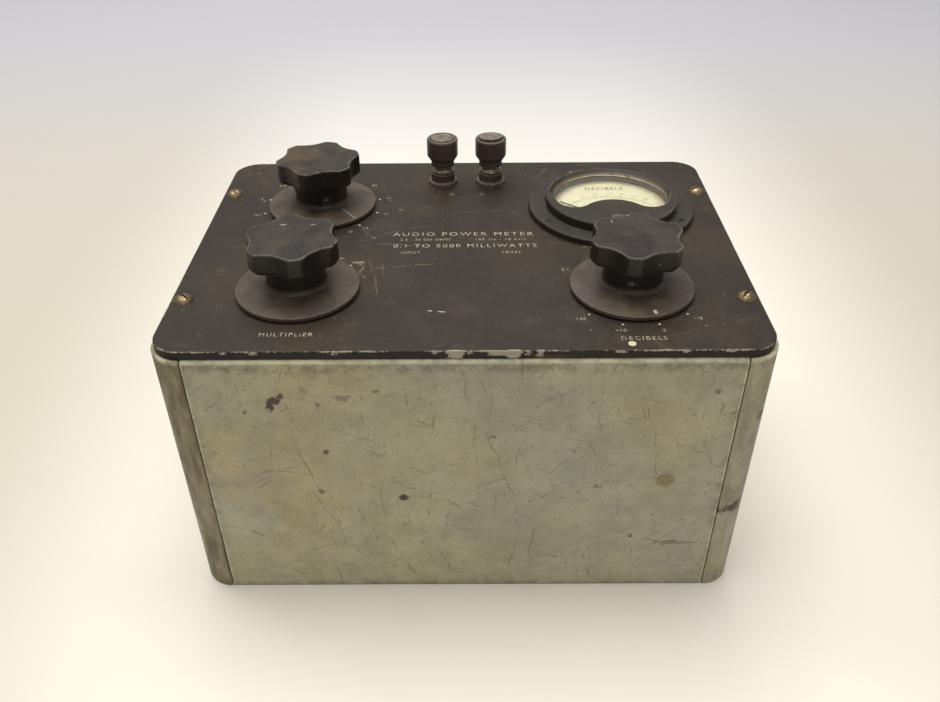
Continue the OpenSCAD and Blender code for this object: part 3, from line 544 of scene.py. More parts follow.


# side is painted shade: the near black of the panel's upright edge, which is turned from the light
panelFinish = dict(
    paint=rgb("2A221A"), khaki=rgb("342B1D"), pale=rgb("463C2C"), dust=rgb("7C7256"), bare=rgb("968F80"),
    rust=rgb("452C1C"), side=rgb("100C09"), white=rgb("C9C2AE"), rough=0.52, gloss=0.3, rustAt=34,
    strokes=[  # x0, y0, x1, y1, width, strength
        (-42, -26, -34, -25, 0.5, 0.7), (-34, -25, -26, -23.5, 0.45, 0.7), (-26, -23.5, -13.3, -22, 0.5, 0.8),
        (-45, -17, -41, -30, 0.4, 0.6), (-41, -30, -38, -49, 0.45, 0.7), (-38, -17, -36, -36, 0.35, 0.5),
        (-8, 28, 8, 31, 0.45, 0.55), (8, 31, 22, 31, 0.4, 0.6), (22, 31, 27, 26, 0.5, 0.5),
        (-52, -20, -46, -24, 0.8, 1), (-46, -24, -48, -29, 0.9, 0.9), (-48, -29, -44, -34, 0.6, 0.9),
        (-44, 4, -30, 12, 0.6, 0.5), (-30, 12, -16, 14, 0.5, 0.4), (-45, -2, -20, -6, 0.7, 0.4),
        (-52, 13, -42, 2, 0.35, 0.7), (-58, 20, -48, 12, 0.35, 0.6),
    ],
    dashes=[(-16, -60.5, -13.6, -61.2, 0.5, 0.8), (-11.2, -61.6, -8, -61.8, 0.45, 0.7),
            (57, 77, 58.5, 76, 0.7, 0.5)],
    spots=[  # x, y, half width, half height, strength
        (-44, 3, 1.2, 1.1, 0.8), (-56, 9.5, 1.3, 1.2, 0.8), (-104.5, 43.3, 1.1, 0.9, 0.9),
        (-104.6, 27.3, 1.2, 0.9, 0.9), (-113.8, 77.1, 1.1, 0.9, 0.7), (-32.8, 32.5, 1.5, 1.1, 0.6),
        (-38.7, 42.5, 1.1, 0.9, 0.6), (51.9, -75.5, 0.8, 0.7, 0.8), (99.7, -73, 0.8, 0.7, 0.8),
        (-57.2, -16.4, 1.5, 0.8, 1), (-103.3, 28.8, 1.1, 0.8, 0.7), (106.7, -72, 0.7, 0.6, 0.6),
        (-7.1, 49.7, 1.6, 2.2, 0.5), (8.3, 49.7, 1.6, 2.2, 0.4),
    ],
    chips=[(-3.3, 4.2, 4.4), (13.2, 5.0, 2.4), (19.5, 4.0, 4.2), (25.4, 1.4, 2.2), (30.3, 1.5, 3.2),
           (-11.5, 0.9, 1.6), (2, 0.7, 1.8), (62, 3.0, 1.3), (-84, 1.6, 1.6), (-52, 1.4, 1.8),
           (-96, 1.2, 1.4), (88, 2.2, 1.4), (106, 2.6, 1.2)],  # x, half width, depth
)


def bareMetal(mix, axes, inwards, fuzz):
    # a thin worn line all round the top edge, and chips down the front side
    down = mix.minus(panelTop, axes[2])
    broad = mix.noise(mix.place(), 0.06, 2.0)
    reach = mix.plus(mix.spread(fuzz, 0.3, 0.7, 0.12, 0.62), mix.spread(broad, 0.35, 0.65, -0.28, 0.16))
    line = mix.spread(mix.minus(mix.plus(down, inwards), reach), -0.1, 0.08, 1, 0)
    slid = mix.plus(axes[0], mix.spread(fuzz, 0.3, 0.7, -1.4, 1.4))
    chips = []
    for x, half, depth in panelFinish["chips"]:
        beside = mix.sums("ABSOLUTE", mix.minus(slid, x))
        chips.append(mix.times(mix.spread(beside, half, half * 0.45), depth))
    inFront = mix.spread(axes[1], -halfDeep + 4, -halfDeep + 2)
    deep = mix.times(mix.most(*chips), inFront)
    chipped = mix.spread(mix.minus(mix.plus(down, mix.times(inwards, 5.0)), deep), -0.2, 0.1, 1, 0)
    return mix.most(mix.times(line, 0.85), chipped)


def panelMaterial():
    look = panelFinish
    mix = newMaterial("cracklePanel", look["paint"])
    place = mix.place()
    pebble = mix.noise(place, 0.9, 4.0, 0.7)
    mix.tint(look["khaki"], mix.use(blotches, Place=place, Scale=0.02, Low=0.42, High=0.62))
    mix.tint(look["pale"], mix.use(blotches, Place=place, Scale=0.06, Low=0.5, High=0.7, Rough=0.7), 0.4)
    sand = mix.noise(place, 2.2, 2.0, 0.6)
    mix.shade(mix.times(mix.spread(pebble, 0.3, 0.72, 0.6, 1.4), mix.spread(sand, 0.32, 0.68, 0.6, 1.4)))
    hair = mix.use(hairlines, Place=place, Scale=0.6, Stretch=0.05, Low=0.72, High=0.84)
    stray = mix.use(strayLines, Place=place, Scale=0.02, Width=0.004, Keep=0.43)
    mix.tint(look["dust"], mix.most(hair, stray), 0.3)
    mix.tint(look["dust"], mix.most(mix.use(specks, Place=place, Scale=0.16, Size=0.07, Few=0.72),
                                    mix.use(specks, Place=place, Scale=0.45, Size=0.13, Few=0.9)), 0.45)
    mix.tint(look["dust"], mix.strokes(place, look["strokes"], 4.0), 0.6)
    mix.tint(look["dust"], mix.spots(place, look["spots"], 2.0), 0.75)
    mix.tint(look["white"], mix.strokes(place, look["dashes"], 1.0))

    axes = mix.axes(place)
    inner = (halfWide - panelCorner, halfDeep - panelCorner, 1000)
    folded = mix.put("VectorMath", {0: place}, operation="ABSOLUTE").outputs["Vector"]
    past = mix.vectors("MAXIMUM", mix.vectors("SUBTRACT", folded, inner), (0, 0, 0))
    inwards = mix.minus(panelCorner, mix.length(past))
    fuzz = mix.noise(place, 0.7, 4.0, 0.7)
    bare = bareMetal(mix, axes, inwards, fuzz)
    # painted shade: the panel's upright side edge is drawn almost black, as it is turned from the light
    side = mix.spread(inwards, 0.35, 0.1)
    mix.tint(look["side"], side, 0.8)
    nearRust = mix.spread(mix.sums("ABSOLUTE", mix.minus(axes[0], look["rustAt"])), 9, 4)
    lowDown = mix.spread(axes[2], panelTop - 1.6, panelTop - 2.8)
    patchy = mix.times(side, mix.spread(fuzz, 0.3, 0.5))
    mix.tint(look["rust"], mix.times(nearRust, lowDown), patchy)
    mix.tint(look["bare"], bare)
    rough = mix.spread(pebble, 0.3, 0.7, look["rough"] - 0.08, look["rough"] + 0.16)
    relief = mix.minus(pebble, mix.times(bare, 0.6))
    return mix.finished(rough, relief, 0.55, 0.0004, metallic=mix.times(bare, 0.3), specular=look["gloss"])


headMarks = [  # knob, x, y, half width, half height
    ("multiplier_knob", -5, 10.8, 1.9, 0.35), ("multiplier_knob", 7.7, 10.6, 1.5, 0.3),
    ("range_knob", -9.2, 12, 0.35, 1.5), ("range_knob", -1.6, 17.2, 0.5, 0.4),
]
bakelite = dict(base=rgb("1E1713"), worn=rgb("2B221B"), dust=rgb("5E5140"), rim=rgb("8F867A"),
                nick=rgb("A39A88"), brown=rgb("463522"), footDustAndLight=rgb("665A4B"), mark=rgb("9C9484"))


def bakeliteMaterial(name, base=bakelite["base"], worn=bakelite["worn"], dust=bakelite["dust"], rough=0.38,
                     patch=0.0, footDustAndLight=0.0, lining=None, marked=False):
    # the foot amount lightens a knob's skirt near its foot: partly dust lying on it, partly painted light
    # where the head shades the skirt; lining is the brown inside of the meter's window
    mix = newMaterial(name, base)
    place = mix.place()
    height = mix.axes(place)[2]
    mix.tint(worn, mix.use(blotches, Place=place, Scale=0.05, Low=0.35, High=0.7), 0.6)
    if patch:
        mix.tint(bakelite["brown"], mix.use(blotches, Place=place, Scale=0.05, Low=0.42, High=0.6), patch)
    mix.tint(dust, mix.use(hairlines, Place=place, Scale=1.0, Stretch=0.08, Low=0.7, High=0.84), 0.3)
    up = mix.axes(mix.put("NewGeometry", {}).outputs["Normal"])[2]
    film = mix.use(blotches, Place=place, Scale=0.07, Low=0.36, High=0.72, Rough=0.7)
    settled = mix.times(mix.spread(up, 0.55, 0.98), film)
    mix.tint(dust, settled, 0.35)
    # painted light and dust: the skirt is lightened towards its foot, partly a film of dust and partly
    # painted light under the head's shadow
    if footDustAndLight:
        low = mix.spread(height, panelTop + 7, panelTop + 4.6)
        low = mix.times(low, mix.spread(film, 0.0, 1.0, 0.6, 1.0))
        mix.tint(bakelite["footDustAndLight"], low, footDustAndLight)
    if lining:
        centre = middleOf("meter_bezel")
        beside = mix.vectors("SUBTRACT", place, (centre.x, centre.y, 0))
        away = mix.length(mix.vectors("MULTIPLY", beside, (1, 1, 0)))
        mix.tint(lining, mix.spread(away, 30.6, 29.4), mix.spread(height, panelTop + 7.4, panelTop + 5.8))
    if marked:
        spots = [(middleOf(knob).x + x, middleOf(knob).y + y, wide, high, 1)
                 for knob, x, y, wide, high in headMarks]
        marks = mix.spots(mix.place("XY"), spots, 2.0)
        mix.tint(bakelite["mark"], marks, mix.spread(height, panelTop + 25, panelTop + 26))
    rub = mix.use(edgeWear, Place=place, Width=0.0011, Scale=0.2, Amount=0.56)
    if footDustAndLight:
        rub = mix.times(rub, mix.spread(height, panelTop + 15, panelTop + 17, 0.3, 1))
    if lining:
        rub = mix.times(rub, mix.spread(height, panelTop + 3.6, panelTop + 5, 0.35, 1))
    mix.tint(bakelite["rim"], rub, 0.75)
    mix.tint(bakelite["nick"], mix.use(specks, Place=place, Scale=0.16, Size=0.09, Few=0.84), 0.6)
    fine = mix.noise(place, 1.0, 3.0)
    gloss = mix.spread(fine, 0.3, 0.7, rough - 0.05, rough + 0.12)
    return mix.finished(mix.plus(gloss, mix.times(settled, 0.25)), fine, 0.15, 0.0002, specular=0.36)


def metalMaterial(name, base, tarnish, dirt, rough=0.35, amount=0.6, metallic=1.0, scale=0.5):
    mix = newMaterial(name, rgb(base))
    place = mix.place()
    dull = mix.use(blotches, Place=place, Scale=scale, Low=0.36, High=0.62, Rough=0.7)
    mix.tint(rgb(tarnish), dull, amount)
    crust = mix.use(blotches, Place=place, Scale=scale * 2.2, Low=0.55, High=0.68, Rough=0.75)
    mix.tint(rgb(dirt), crust, amount)
    covered = mix.minus(1.0, mix.times(crust, amount))
    grain = mix.noise(place, 4.0, 3.0)
    return mix.finished(mix.spread(dull, 0.0, 1.0, rough, min(rough + 0.3, 0.95)), mix.plus(grain, crust),
                        metallic=mix.times(covered, metallic))


def grainMaterial(name, light, dark, rough=0.6, scale=0.6, stretch=(1, 1, 1), metallic=0.0):
    mix = newMaterial(name)
    grain = mix.noise(mix.vectors("MULTIPLY", mix.place(), stretch), scale, 5.0, 0.6)
    mix.colour = mix.blend(mix.spread(grain, 0.35, 0.65), rgb(dark), rgb(light))
    return mix.finished(mix.spread(grain, 0.3, 0.7, rough - 0.08, rough + 0.1), grain, metallic=metallic)


def letterMaterial(name, ink, ground, low, high):
    # ink that has partly come away
    mix = newMaterial(name, rgb(ink))
    place = mix.place()
    gone = mix.use(blotches, Place=place, Scale=0.9, Low=low, High=high, Rough=0.75)
    mix.tint(rgb(ground), mix.use(blotches, Place=place, Scale=0.12, Low=0.35, High=0.7), 0.45)
    mix.tint(rgb(ground), gone)
    return mix.finished(mix.spread(gone, 0, 1, 0.7, 0.5))


# rim is painted shade: the card drawn darker towards the bezel's wall, which shades it
dialLook = dict(card=rgb("EDE8CB"), aged=rgb("E6DFB8"), rim=rgb("A89A70"), foxing=rgb("8F7B50"))


def dialMaterial():
    mix = newMaterial("agedDial", dialLook["card"])
    place = mix.place()
    beside = mix.vectors("SUBTRACT", place, tuple(middleOf("meter_dial")))
    away = mix.length(mix.vectors("MULTIPLY", beside, (1, 1, 0)))
    fuzz = mix.noise(place, 0.12, 4.0)
    mix.tint(dialLook["aged"], mix.use(blotches, Place=place, Scale=0.05, Low=0.35, High=0.7))
    # painted shade: darker towards the rim, where the bezel's wall shades the card
    mix.tint(dialLook["rim"], mix.spread(mix.plus(away, mix.times(fuzz, 5.0)), 25.5, 31.0), 0.8)
    mix.tint(dialLook["foxing"], mix.use(specks, Place=place, Scale=0.4, Size=0.08, Few=0.75), 0.5)
    return mix.finished(mix.spread(fuzz, 0.3, 0.7, 0.55, 0.72))


def glassMaterial():
    # light and shadow rays pass straight through, so that the dial below is lit
    mix = newMaterial("meterGlass", rgb("FAFBF6"))
    smear = mix.use(blotches, Place=mix.place(), Scale=0.06, Low=0.45, High=0.75)
    mix.tint(rgb("EEEEE2"), smear)
    material = mix.finished(mix.spread(smear, 0, 1, 0.03, 0.09), clear=1.0, ior=1.46)
    path = mix.put("LightPath", {}).outputs
    passes = mix.most(path["Is Shadow Ray"], path["Is Diffuse Ray"])
    shader = mix.tree.nodes["Principled BSDF"].outputs[0]
    through = mix.put("BsdfTransparent", {"Color": (0.93, 0.93, 0.9, 1)}).outputs[0]
    mixed = mix.put("MixShader", {0: passes, 1: shader, 2: through}).outputs[0]
    mix.wire(mixed, mix.tree.nodes["Material Output"].inputs["Surface"])
    return material


paints = {
    "front": paintMaterial("frontPaint", "XZ", endLength, front=True),
    "back": paintMaterial("backPaint", "XZ", endLength),
    "sides": paintMaterial("sidePaint", "YZ", sideLength),
    "base": paintMaterial("basePaint", "XY"),
    # the left post's shade of 0.68 is partly its own darker brown paint and partly painted shade, as it faces
    # away from the light
    "leftPost": paintMaterial("leftPostPaint", "XZ", smear=0.9, shade=0.68),
    "rightPost": paintMaterial("rightPostPaint", "YZ", spots=casePaint["rightPostSpots"], smear=0.5,
                               shade=0.98),
}
panelPaint = panelMaterial()
knobBakelite = bakeliteMaterial("knobBakelite", footDustAndLight=0.6, marked=True)
brownBakelite = bakeliteMaterial("brownedBakelite", patch=0.9, footDustAndLight=0.6)
bezelBakelite = bakeliteMaterial("bezelBakelite", rgb("231D17"), rgb("302820"), rgb("544A39"), 0.5,
                                 lining=rgb("6E5E42"))
terminalBakelite = bakeliteMaterial("terminalBakelite", rgb("453731"), rgb("53463C"), rgb("73695A"), 0.36)
rustyBrass = metalMaterial("rustyBrass", "9A8A6E", "6B5742", "33281C", rough=0.36, amount=0.9, scale=0.8)
dullBrass = metalMaterial("dullBrass", "B79A5E", "8A6E3C", "4E4028", amount=0.4)
dullSteel = metalMaterial("dullSteel", "9A9790", "6F6B64", "4A4038", amount=0.5)
dullNickel = metalMaterial("dullNickel", "A89F86", "6E634C", "3F3628", rough=0.28, amount=0.8)
darkScrew = metalMaterial("darkScrew", "3B3733", "2A2724", "1E1B19", metallic=0.6)
greyFiller = grainMaterial("greyFiller", "80776A", "54493A", rough=0.65, scale=0.45)
paxolin = grainMaterial("paxolin", "7A5433", "5E3F26", stretch=(1, 0.15, 1))
copperWire = grainMaterial("copperWire", "A5663A", "6E3F22", rough=0.4, stretch=(0.1, 1, 6), metallic=0.6)
laminated = grainMaterial("laminatedIron", "4A4642", "2B2826", rough=0.7, stretch=(0.1, 5, 0.1))
windingPaper = grainMaterial("windingPaper", "8F7646", "6E5932", rough=0.55, stretch=(1, 1, 0.2))
magnetIron = grainMaterial("magnetIron", "45454A", "2E2E32", rough=0.5, metallic=0.5)
bobbinBody = grainMaterial("bobbinBody", "7D6440", "5B472D", rough=0.6, stretch=(0.2, 1, 1))
oxideRed = grainMaterial("oxideRed", "6E3326", "4A2119", rough=0.55)
pointerBlack = grainMaterial("pointerBlack", "26231F", "171513", rough=0.5)
creamLetters = letterMaterial("creamLetters", "C9BF9A", "59513F", 0.44, 0.6)
brightLetters = letterMaterial("brightLetters", "D8D2BE", "6A6250", 0.52, 0.68)
creamDot = letterMaterial("creamDot", "D9CB9C", "A08F60", 0.55, 0.75)
dialInk = letterMaterial("dialInk", "26221B", "4E4832", 0.55, 0.8)
faintInk = letterMaterial("faintDialInk", "7A5F38", "C4B98C", 0.44, 0.66)
agedDial = dialMaterial()
meterGlass = glassMaterial()
print("materials made")


caseShape = dict(postRadius=14.2, postWall=1.9, stepRadius=0.7, sheet=1.6, bend=2.2, tongue=10,
                 tongueThick=2, sideFlange=16, endFlange=12, edge=0.25)


def makePost(name, sideX, sideY, material):
    c = caseShape
    corner = (halfWide - panelCorner, halfDeep - panelCorner)
    inner = c["postRadius"] - c["postWall"]
    step = math.degrees(c["stepRadius"] / c["postRadius"])
    ends = []  # the small rounded step at each end of the quarter round
    for k in range(1, 6):
        a = math.radians(90 * k / 5)
        inset = c["stepRadius"] * (1 - math.cos(a))
        ends.append((c["stepRadius"] * (1 - math.sin(a)), c["postRadius"] - inset))
    outline = arc((0, 0), c["postRadius"], step, 90 - step, 24)
    outline += [Vector(p) for p in ends]
    outline += arc((0, 0), inner, 90, 0, 18)
    outline += [Vector((y, x)) for x, y in reversed(ends)]
    bm = bmesh.new()
    addPrism(bm, outline, 0, panelUnder)
    face = sheetReach[0] - corner[0] - c["sheet"]
    tongueIn = face - c["tongueThick"]
    tongue = [(face, -c["tongue"]), (face, 0.4), (0.4, face), (-c["tongue"], face), (-c["tongue"], tongueIn),
              (-0.2, tongueIn, 3), (tongueIn, -0.2, 3), (tongueIn, -c["tongue"])]
    tongue[1:3] = [(p.x, p.y) for p in arc((0, 0), face + 0.1, 8, 82, 12)]
    addPrism(bm, roundCorners(tongue), 2.2, panelUnder - c["sheet"] - 0.2)
    place = Matrix.Translation((sideX * corner[0], sideY * corner[1], 0))
    place = place @ Matrix.Diagonal((sideX, sideY, 1, 1))
    makePiece(name + "_skin", bm, "case", material, (name,), bevel=c["edge"] * 1.6,
              bevelSteps=3, place=place)


def makeSheet(name, length, reach, flange, turn, material):
    c = caseShape
    top = panelUnder
    outer = arc((c["bend"], top - c["bend"]), c["bend"], 180, 90, 8)
    inner = arc((c["bend"], top - c["bend"]), c["bend"] - c["sheet"], 90, 180, 8)
    section = [Vector((0, 0))] + outer + [Vector((flange, top)), Vector((flange, top - c["sheet"]))] + inner
    section.append(Vector((c["sheet"], 0)))
    cuts = 14
    bm = bmesh.new()
    addRings(bm, [[(-length / 2 + length * k / cuts, -reach + p.x, p.y) for p in section]
                  for k in range(cuts + 1)])
    makePiece(name + "_skin", bm, "case", material, (name,), bevel=c["edge"],
              place=Matrix.Rotation(math.radians(turn), 4, "Z"))


def makeCase():
    c = caseShape
    makePost("post_front_left", -1, -1, paints["leftPost"])
    makePost("post_front_right", 1, -1, paints["rightPost"])
    makePost("post_back_left", -1, 1, paints["leftPost"])
    makePost("post_back_right", 1, 1, paints["leftPost"])
    makeSheet("front_sheet", endLength, sheetReach[1], c["endFlange"], 0, paints["front"])
    makeSheet("back_sheet", endLength, sheetReach[1], c["endFlange"], 180, paints["back"])
    makeSheet("left_sheet", sideLength, sheetReach[0], c["sideFlange"], -90, paints["sides"])
    makeSheet("right_sheet", sideLength, sheetReach[0], c["sideFlange"], 90, paints["sides"])


panelEdge = 0.55


def makePanel():
    corners = [(x * halfWide, y * halfDeep, panelCorner) for x, y in ((1, -1), (1, 1), (-1, 1), (-1, -1))]
    bm = bmesh.new()
    addPrism(bm, roundCorners(corners, steps=24), panelUnder, panelTop)
    makePiece("panel_skin", bm, "case", panelPaint, ("top_panel",), bevel=panelEdge,
              bevelSteps=4)


screwShape = dict(radius=4.4, height=2.6, slotWidth=1.1, slotDepth=1.35,
                  slots={(-1, -1): -35, (-1, 1): -71, (1, -1): 45, (1, 1): 20})  # corner, turn of the slot


def makePanelScrews():
    s = screwShape
    outermost = boxOf("panel_screws")[1]
    spotX, spotY = outermost.x - s["radius"], outermost.y - s["radius"]
    ball = (s["radius"] ** 2 + s["height"] ** 2) / (2 * s["height"])
    reach = math.asin(s["radius"] / ball)
    profile = [(ball * math.sin(reach * k / 10), s["height"] - ball + ball * math.cos(reach * k / 10))
               for k in range(11)]
    profile += [(s["radius"], -0.02), (0, -0.02)]
    solids, cutters = bmesh.new(), bmesh.new()
    half, reachOut = s["slotWidth"] / 2, s["radius"] + 1
    for (sideX, sideY), angle in s["slots"].items():
        centre = (sideX * spotX, sideY * spotY, panelTop)
        addTurned(solids, profile, centre, steps=48)
        place = Matrix.Translation(centre) @ Matrix.Rotation(math.radians(angle), 4, "Z")
        corners = [(-reachOut, -half), (reachOut, -half), (reachOut, half), (-reachOut, half)]
        addRings(cutters, [[place @ Vector((x, y, z)) for x, y in corners]
                           for z in (s["height"] - s["slotDepth"], s["height"] + 1)])
    obj = makePiece("panel_screw_heads", solids, "case", rustyBrass, ("panel_screws",),
                    bevel=0.12)
    carve(obj, meshObject("slotCutter", cutters))


knobShape = dict(skirt=27, skirtFoot=0.8, skirtEdge=2.6, neckFoot=13.6, neckRise=4.9, neck=12.7, neckTop=13.9,
                 underHead=14.3, head=20.4, headFoot=16.4, top=26.5, flute=3.2, fluteSpan=40, lobes=6,
                 soft=0.55, hub=11.5, hubFoot=3.6, setHole=2.0, setHoleRise=9)
indexShape = dict(line=(16.2, 26.4, 0.13), bar=(23.2, 25.6, 0.7))  # start, end, half width
knobs = {  # phase of the lobes, where the index points, spindle body
    "impedance": dict(phase=-102, index=-45, hole=-70, body="impedance_spindle", line=True),
    "multiplier": dict(phase=-77, index=75, hole=50, body="multiplier_spindle", line=False),
    "range": dict(phase=-100, index=-75, hole=-100, body="range_spindle", line=False),
}


def makeKnob(name, look, material):
    k = knobShape
    centre = middleOf(name + "_knob")
    at = (centre.x, centre.y, panelTop)
    body = roundCorners([(0, k["hubFoot"]), (k["hub"], k["hubFoot"], 0.4), (k["hub"], k["skirtFoot"], 0.3),
                         (k["skirt"], k["skirtFoot"], 0.4), (k["skirt"], k["skirtEdge"], 0.5),
                         (k["neckFoot"], k["neckRise"], 1.6), (k["neck"], 6.8, 3.0),
                         (k["neckTop"], k["headFoot"] - 0.3, 0.6)], steps=5, closed=False)
    head = roundCorners([(k["neckTop"], k["headFoot"] - 0.3), (k["underHead"], k["headFoot"]),
                         (k["head"], k["headFoot"] + 0.1, 1.9), (k["head"] + 0.1, k["top"], 0.55),
                         (0, k["top"] - 0.15)], steps=7, closed=False)

    # a flute is a round groove whose edges meet the head's own circle
    half = math.radians(k["fluteSpan"] / 2)
    cornerX, cornerY = k["head"] * math.cos(half), k["head"] * math.sin(half)
    floor = k["head"] - k["flute"]
    groove = ((cornerX - floor) ** 2 + cornerY ** 2) / (2 * (cornerX - floor))
    away = floor + groove
    pitch, soft = 2 * math.pi / k["lobes"], k["soft"]

    def outlineAt(a):
        turn = (a - math.radians(look["phase"]) + pitch / 2) % pitch - pitch / 2
        fromFlute = pitch / 2 - abs(turn)
        aside = away * math.sin(fromFlute)
        dip = away * math.cos(fromFlute) - math.sqrt(max(0.0, groove ** 2 - aside ** 2))
        return -soft * math.log(math.exp(-dip / soft) + math.exp(-k["head"] / soft)) + 0.03

    def wave(r, z, a):
        if z < k["headFoot"] - 0.2 or r < 1:
            return r
        share = min(1.0, max(0.0, (r - k["underHead"]) / (k["head"] - k["underHead"])))
        drop = outlineAt(a) - k["head"]
        return r + drop * (share if z < k["top"] - 2 else min(1.0, r / k["head"]) ** 3)

    bm = bmesh.new()
    addTurned(bm, body + head[1:], at, steps=180, wave=wave)
    obj = makePiece(name + "_knob_moulding", bm, look["body"], material, (name + "_knob",))
    hole = bmesh.new()
    addTurned(hole, [(0, 8), (k["setHole"], 8), (k["setHole"], 24), (0, 24)], (0, 0, 0), steps=32)
    place = (Matrix.Translation((at[0], at[1], panelTop + k["setHoleRise"]))
             @ Matrix.Rotation(math.radians(look["hole"]), 4, "Z")
             @ Matrix.Rotation(math.radians(90), 4, "Y"))
    for v in hole.verts:
        v.co = place @ v.co
    carve(obj, meshObject("holeCutter", hole))


def makeIndexMarks():
    # the pointer mark filled in on each skirt, laid along its slope
    k = knobShape
    slope = (k["skirtEdge"] - k["neckRise"]) / (k["skirt"] - k["neckFoot"])
    above, below = 0.05, -0.08
    for name, look in knobs.items():
        centre = middleOf(name + "_knob")
        inner, outer, half = indexShape["line" if look["line"] else "bar"]
        corners = [(inner, -half), (outer, -half), (outer, half), (inner, half)]
        outline = roundCorners([(x, y, half * 0.9) for x, y in corners], steps=4)
        place = (Matrix.Translation((centre.x, centre.y, panelTop))
                 @ Matrix.Rotation(math.radians(look["index"]), 4, "Z"))
        bm = bmesh.new()
        addRings(bm, [[place @ Vector((p.x, p.y, k["neckRise"] + slope * (p.x - k["neckFoot"]) + lift))
                       for p in outline] for lift in (below, above)])
        makePiece(name + "_index", bm, look["body"], brightLetters)


terminalShape = dict(
    cap=8.1, neck=6.05, height=24.8, disc=6.15,
    discs={"left": (0.1, 2.2), "right": (0.7, 5.5)},  # how far each filler disc is lifted, and leans
    base=[(2.6, -4), (4.9, -4), (4.9, 0), (7.75, 0), (7.75, 1.6, 0.5), (6.3, 1.6, 0.3), (6.3, 6.2, 0.6),
          (2.6, 6.2)],
    clamp=[(2.42, 6.5), (5.9, 6.5, 0.3), (5.9, 7.2, 0.4), (4.1, 9.3, 1.2), (2.42, 9.5)],
)


def makeTerminals():
    t = terminalShape
    bases = bmesh.new()
    for side in ("left", "right"):
        spot = middleOf("terminal_cap_" + side)
        at = (spot.x, spot.y, panelTop)
        addTurned(bases, roundCorners(t["base"], steps=5), at, steps=72)
        cap = roundCorners([(0, 20), (2.6, 20), (2.6, 9.8), (t["neck"], 9.8, 0.5), (t["neck"], 12.5, 0.4),
                            (t["cap"], 15.6, 1.0), (t["cap"], t["height"], 1.1),
                            (t["disc"] + 0.35, t["height"], 0.35), (t["disc"] + 0.15, t["height"] - 1.6),
                            (0, t["height"] - 1.6)], steps=6, closed=False)
        bm = bmesh.new()
        addTurned(bm, cap, at, steps=96)
        makePiece("cap_" + side, bm, side + "_cap", terminalBakelite, ("terminal_cap_" + side,))
        # filler disc, lifted at its front edge so that a dark gap shows below it
        lift, lean = t["discs"][side]
        bm = bmesh.new()
        addTurned(bm, roundCorners([(0, -1.1), (t["disc"] - 0.2, -1.1, 0.2), (t["disc"], 0, 0.25), (0, 0.1)],
                                   steps=4, closed=False), (0, 0, 0), steps=64)
        place = (Matrix.Translation((spot.x, spot.y + 0.15, panelTop + t["height"] + lift))
                 @ Matrix.Rotation(math.radians(-lean), 4, (1, 0.2, 0)))
        makePiece("cap_filler_" + side, bm, side + "_cap", greyFiller, ("terminal_disc_" + side,),
                  place=place)
        bm = bmesh.new()
        addTurned(bm, roundCorners(t["clamp"], steps=5), at, steps=72)
        makePiece("clamp_" + side, bm, side + "_clamp", dullNickel, ("terminal_clamp_" + side,))
    makePiece("terminal_base_mouldings", bases, "case", terminalBakelite, ("terminal_bases",))


meterShape = dict(flange=41.25, flangeTop=3.3, ring=32.7, ringTop=8, cavity=29, under=5.8, arch=28.2,
                  endX=19, endY=-4.4, bumpTop=-4.7, funnel=2.9, screwRing=37.2, screwHead=2.7, screwDeep=1.3,
                  screwHole=1.6, adjusterHole=1.6, pivotDrop=18, rest=50, sweep=100)


def windowOutline(grow=0.0):
    # arch, round ends and bump, all tangent to each other
    m = meterShape
    toEnd = math.hypot(m["endX"], m["endY"])
    endRadius = m["arch"] - toEnd
    rise = m["endY"] - m["bumpTop"]
    bump = (m["endX"] ** 2 + rise ** 2 - endRadius ** 2) / (2 * (endRadius - rise))
    bumpY = m["bumpTop"] - bump
    endTurn = math.degrees(math.atan2(m["endY"], m["endX"]))
    meet = math.degrees(math.atan2(bumpY - m["endY"], -m["endX"]))
    points = arc((0, 0), m["arch"] + grow, endTurn, 180 - endTurn, 90)
    points += arc((-m["endX"], m["endY"]), endRadius + grow, 180 - endTurn, 180 - meet, 36)[1:]
    points += arc((0, bumpY), bump - grow, -meet, 180 + meet, 36)[1:]
    points += arc((m["endX"], m["endY"]), endRadius + grow, meet, endTurn, 36)[1:-1]
    return points


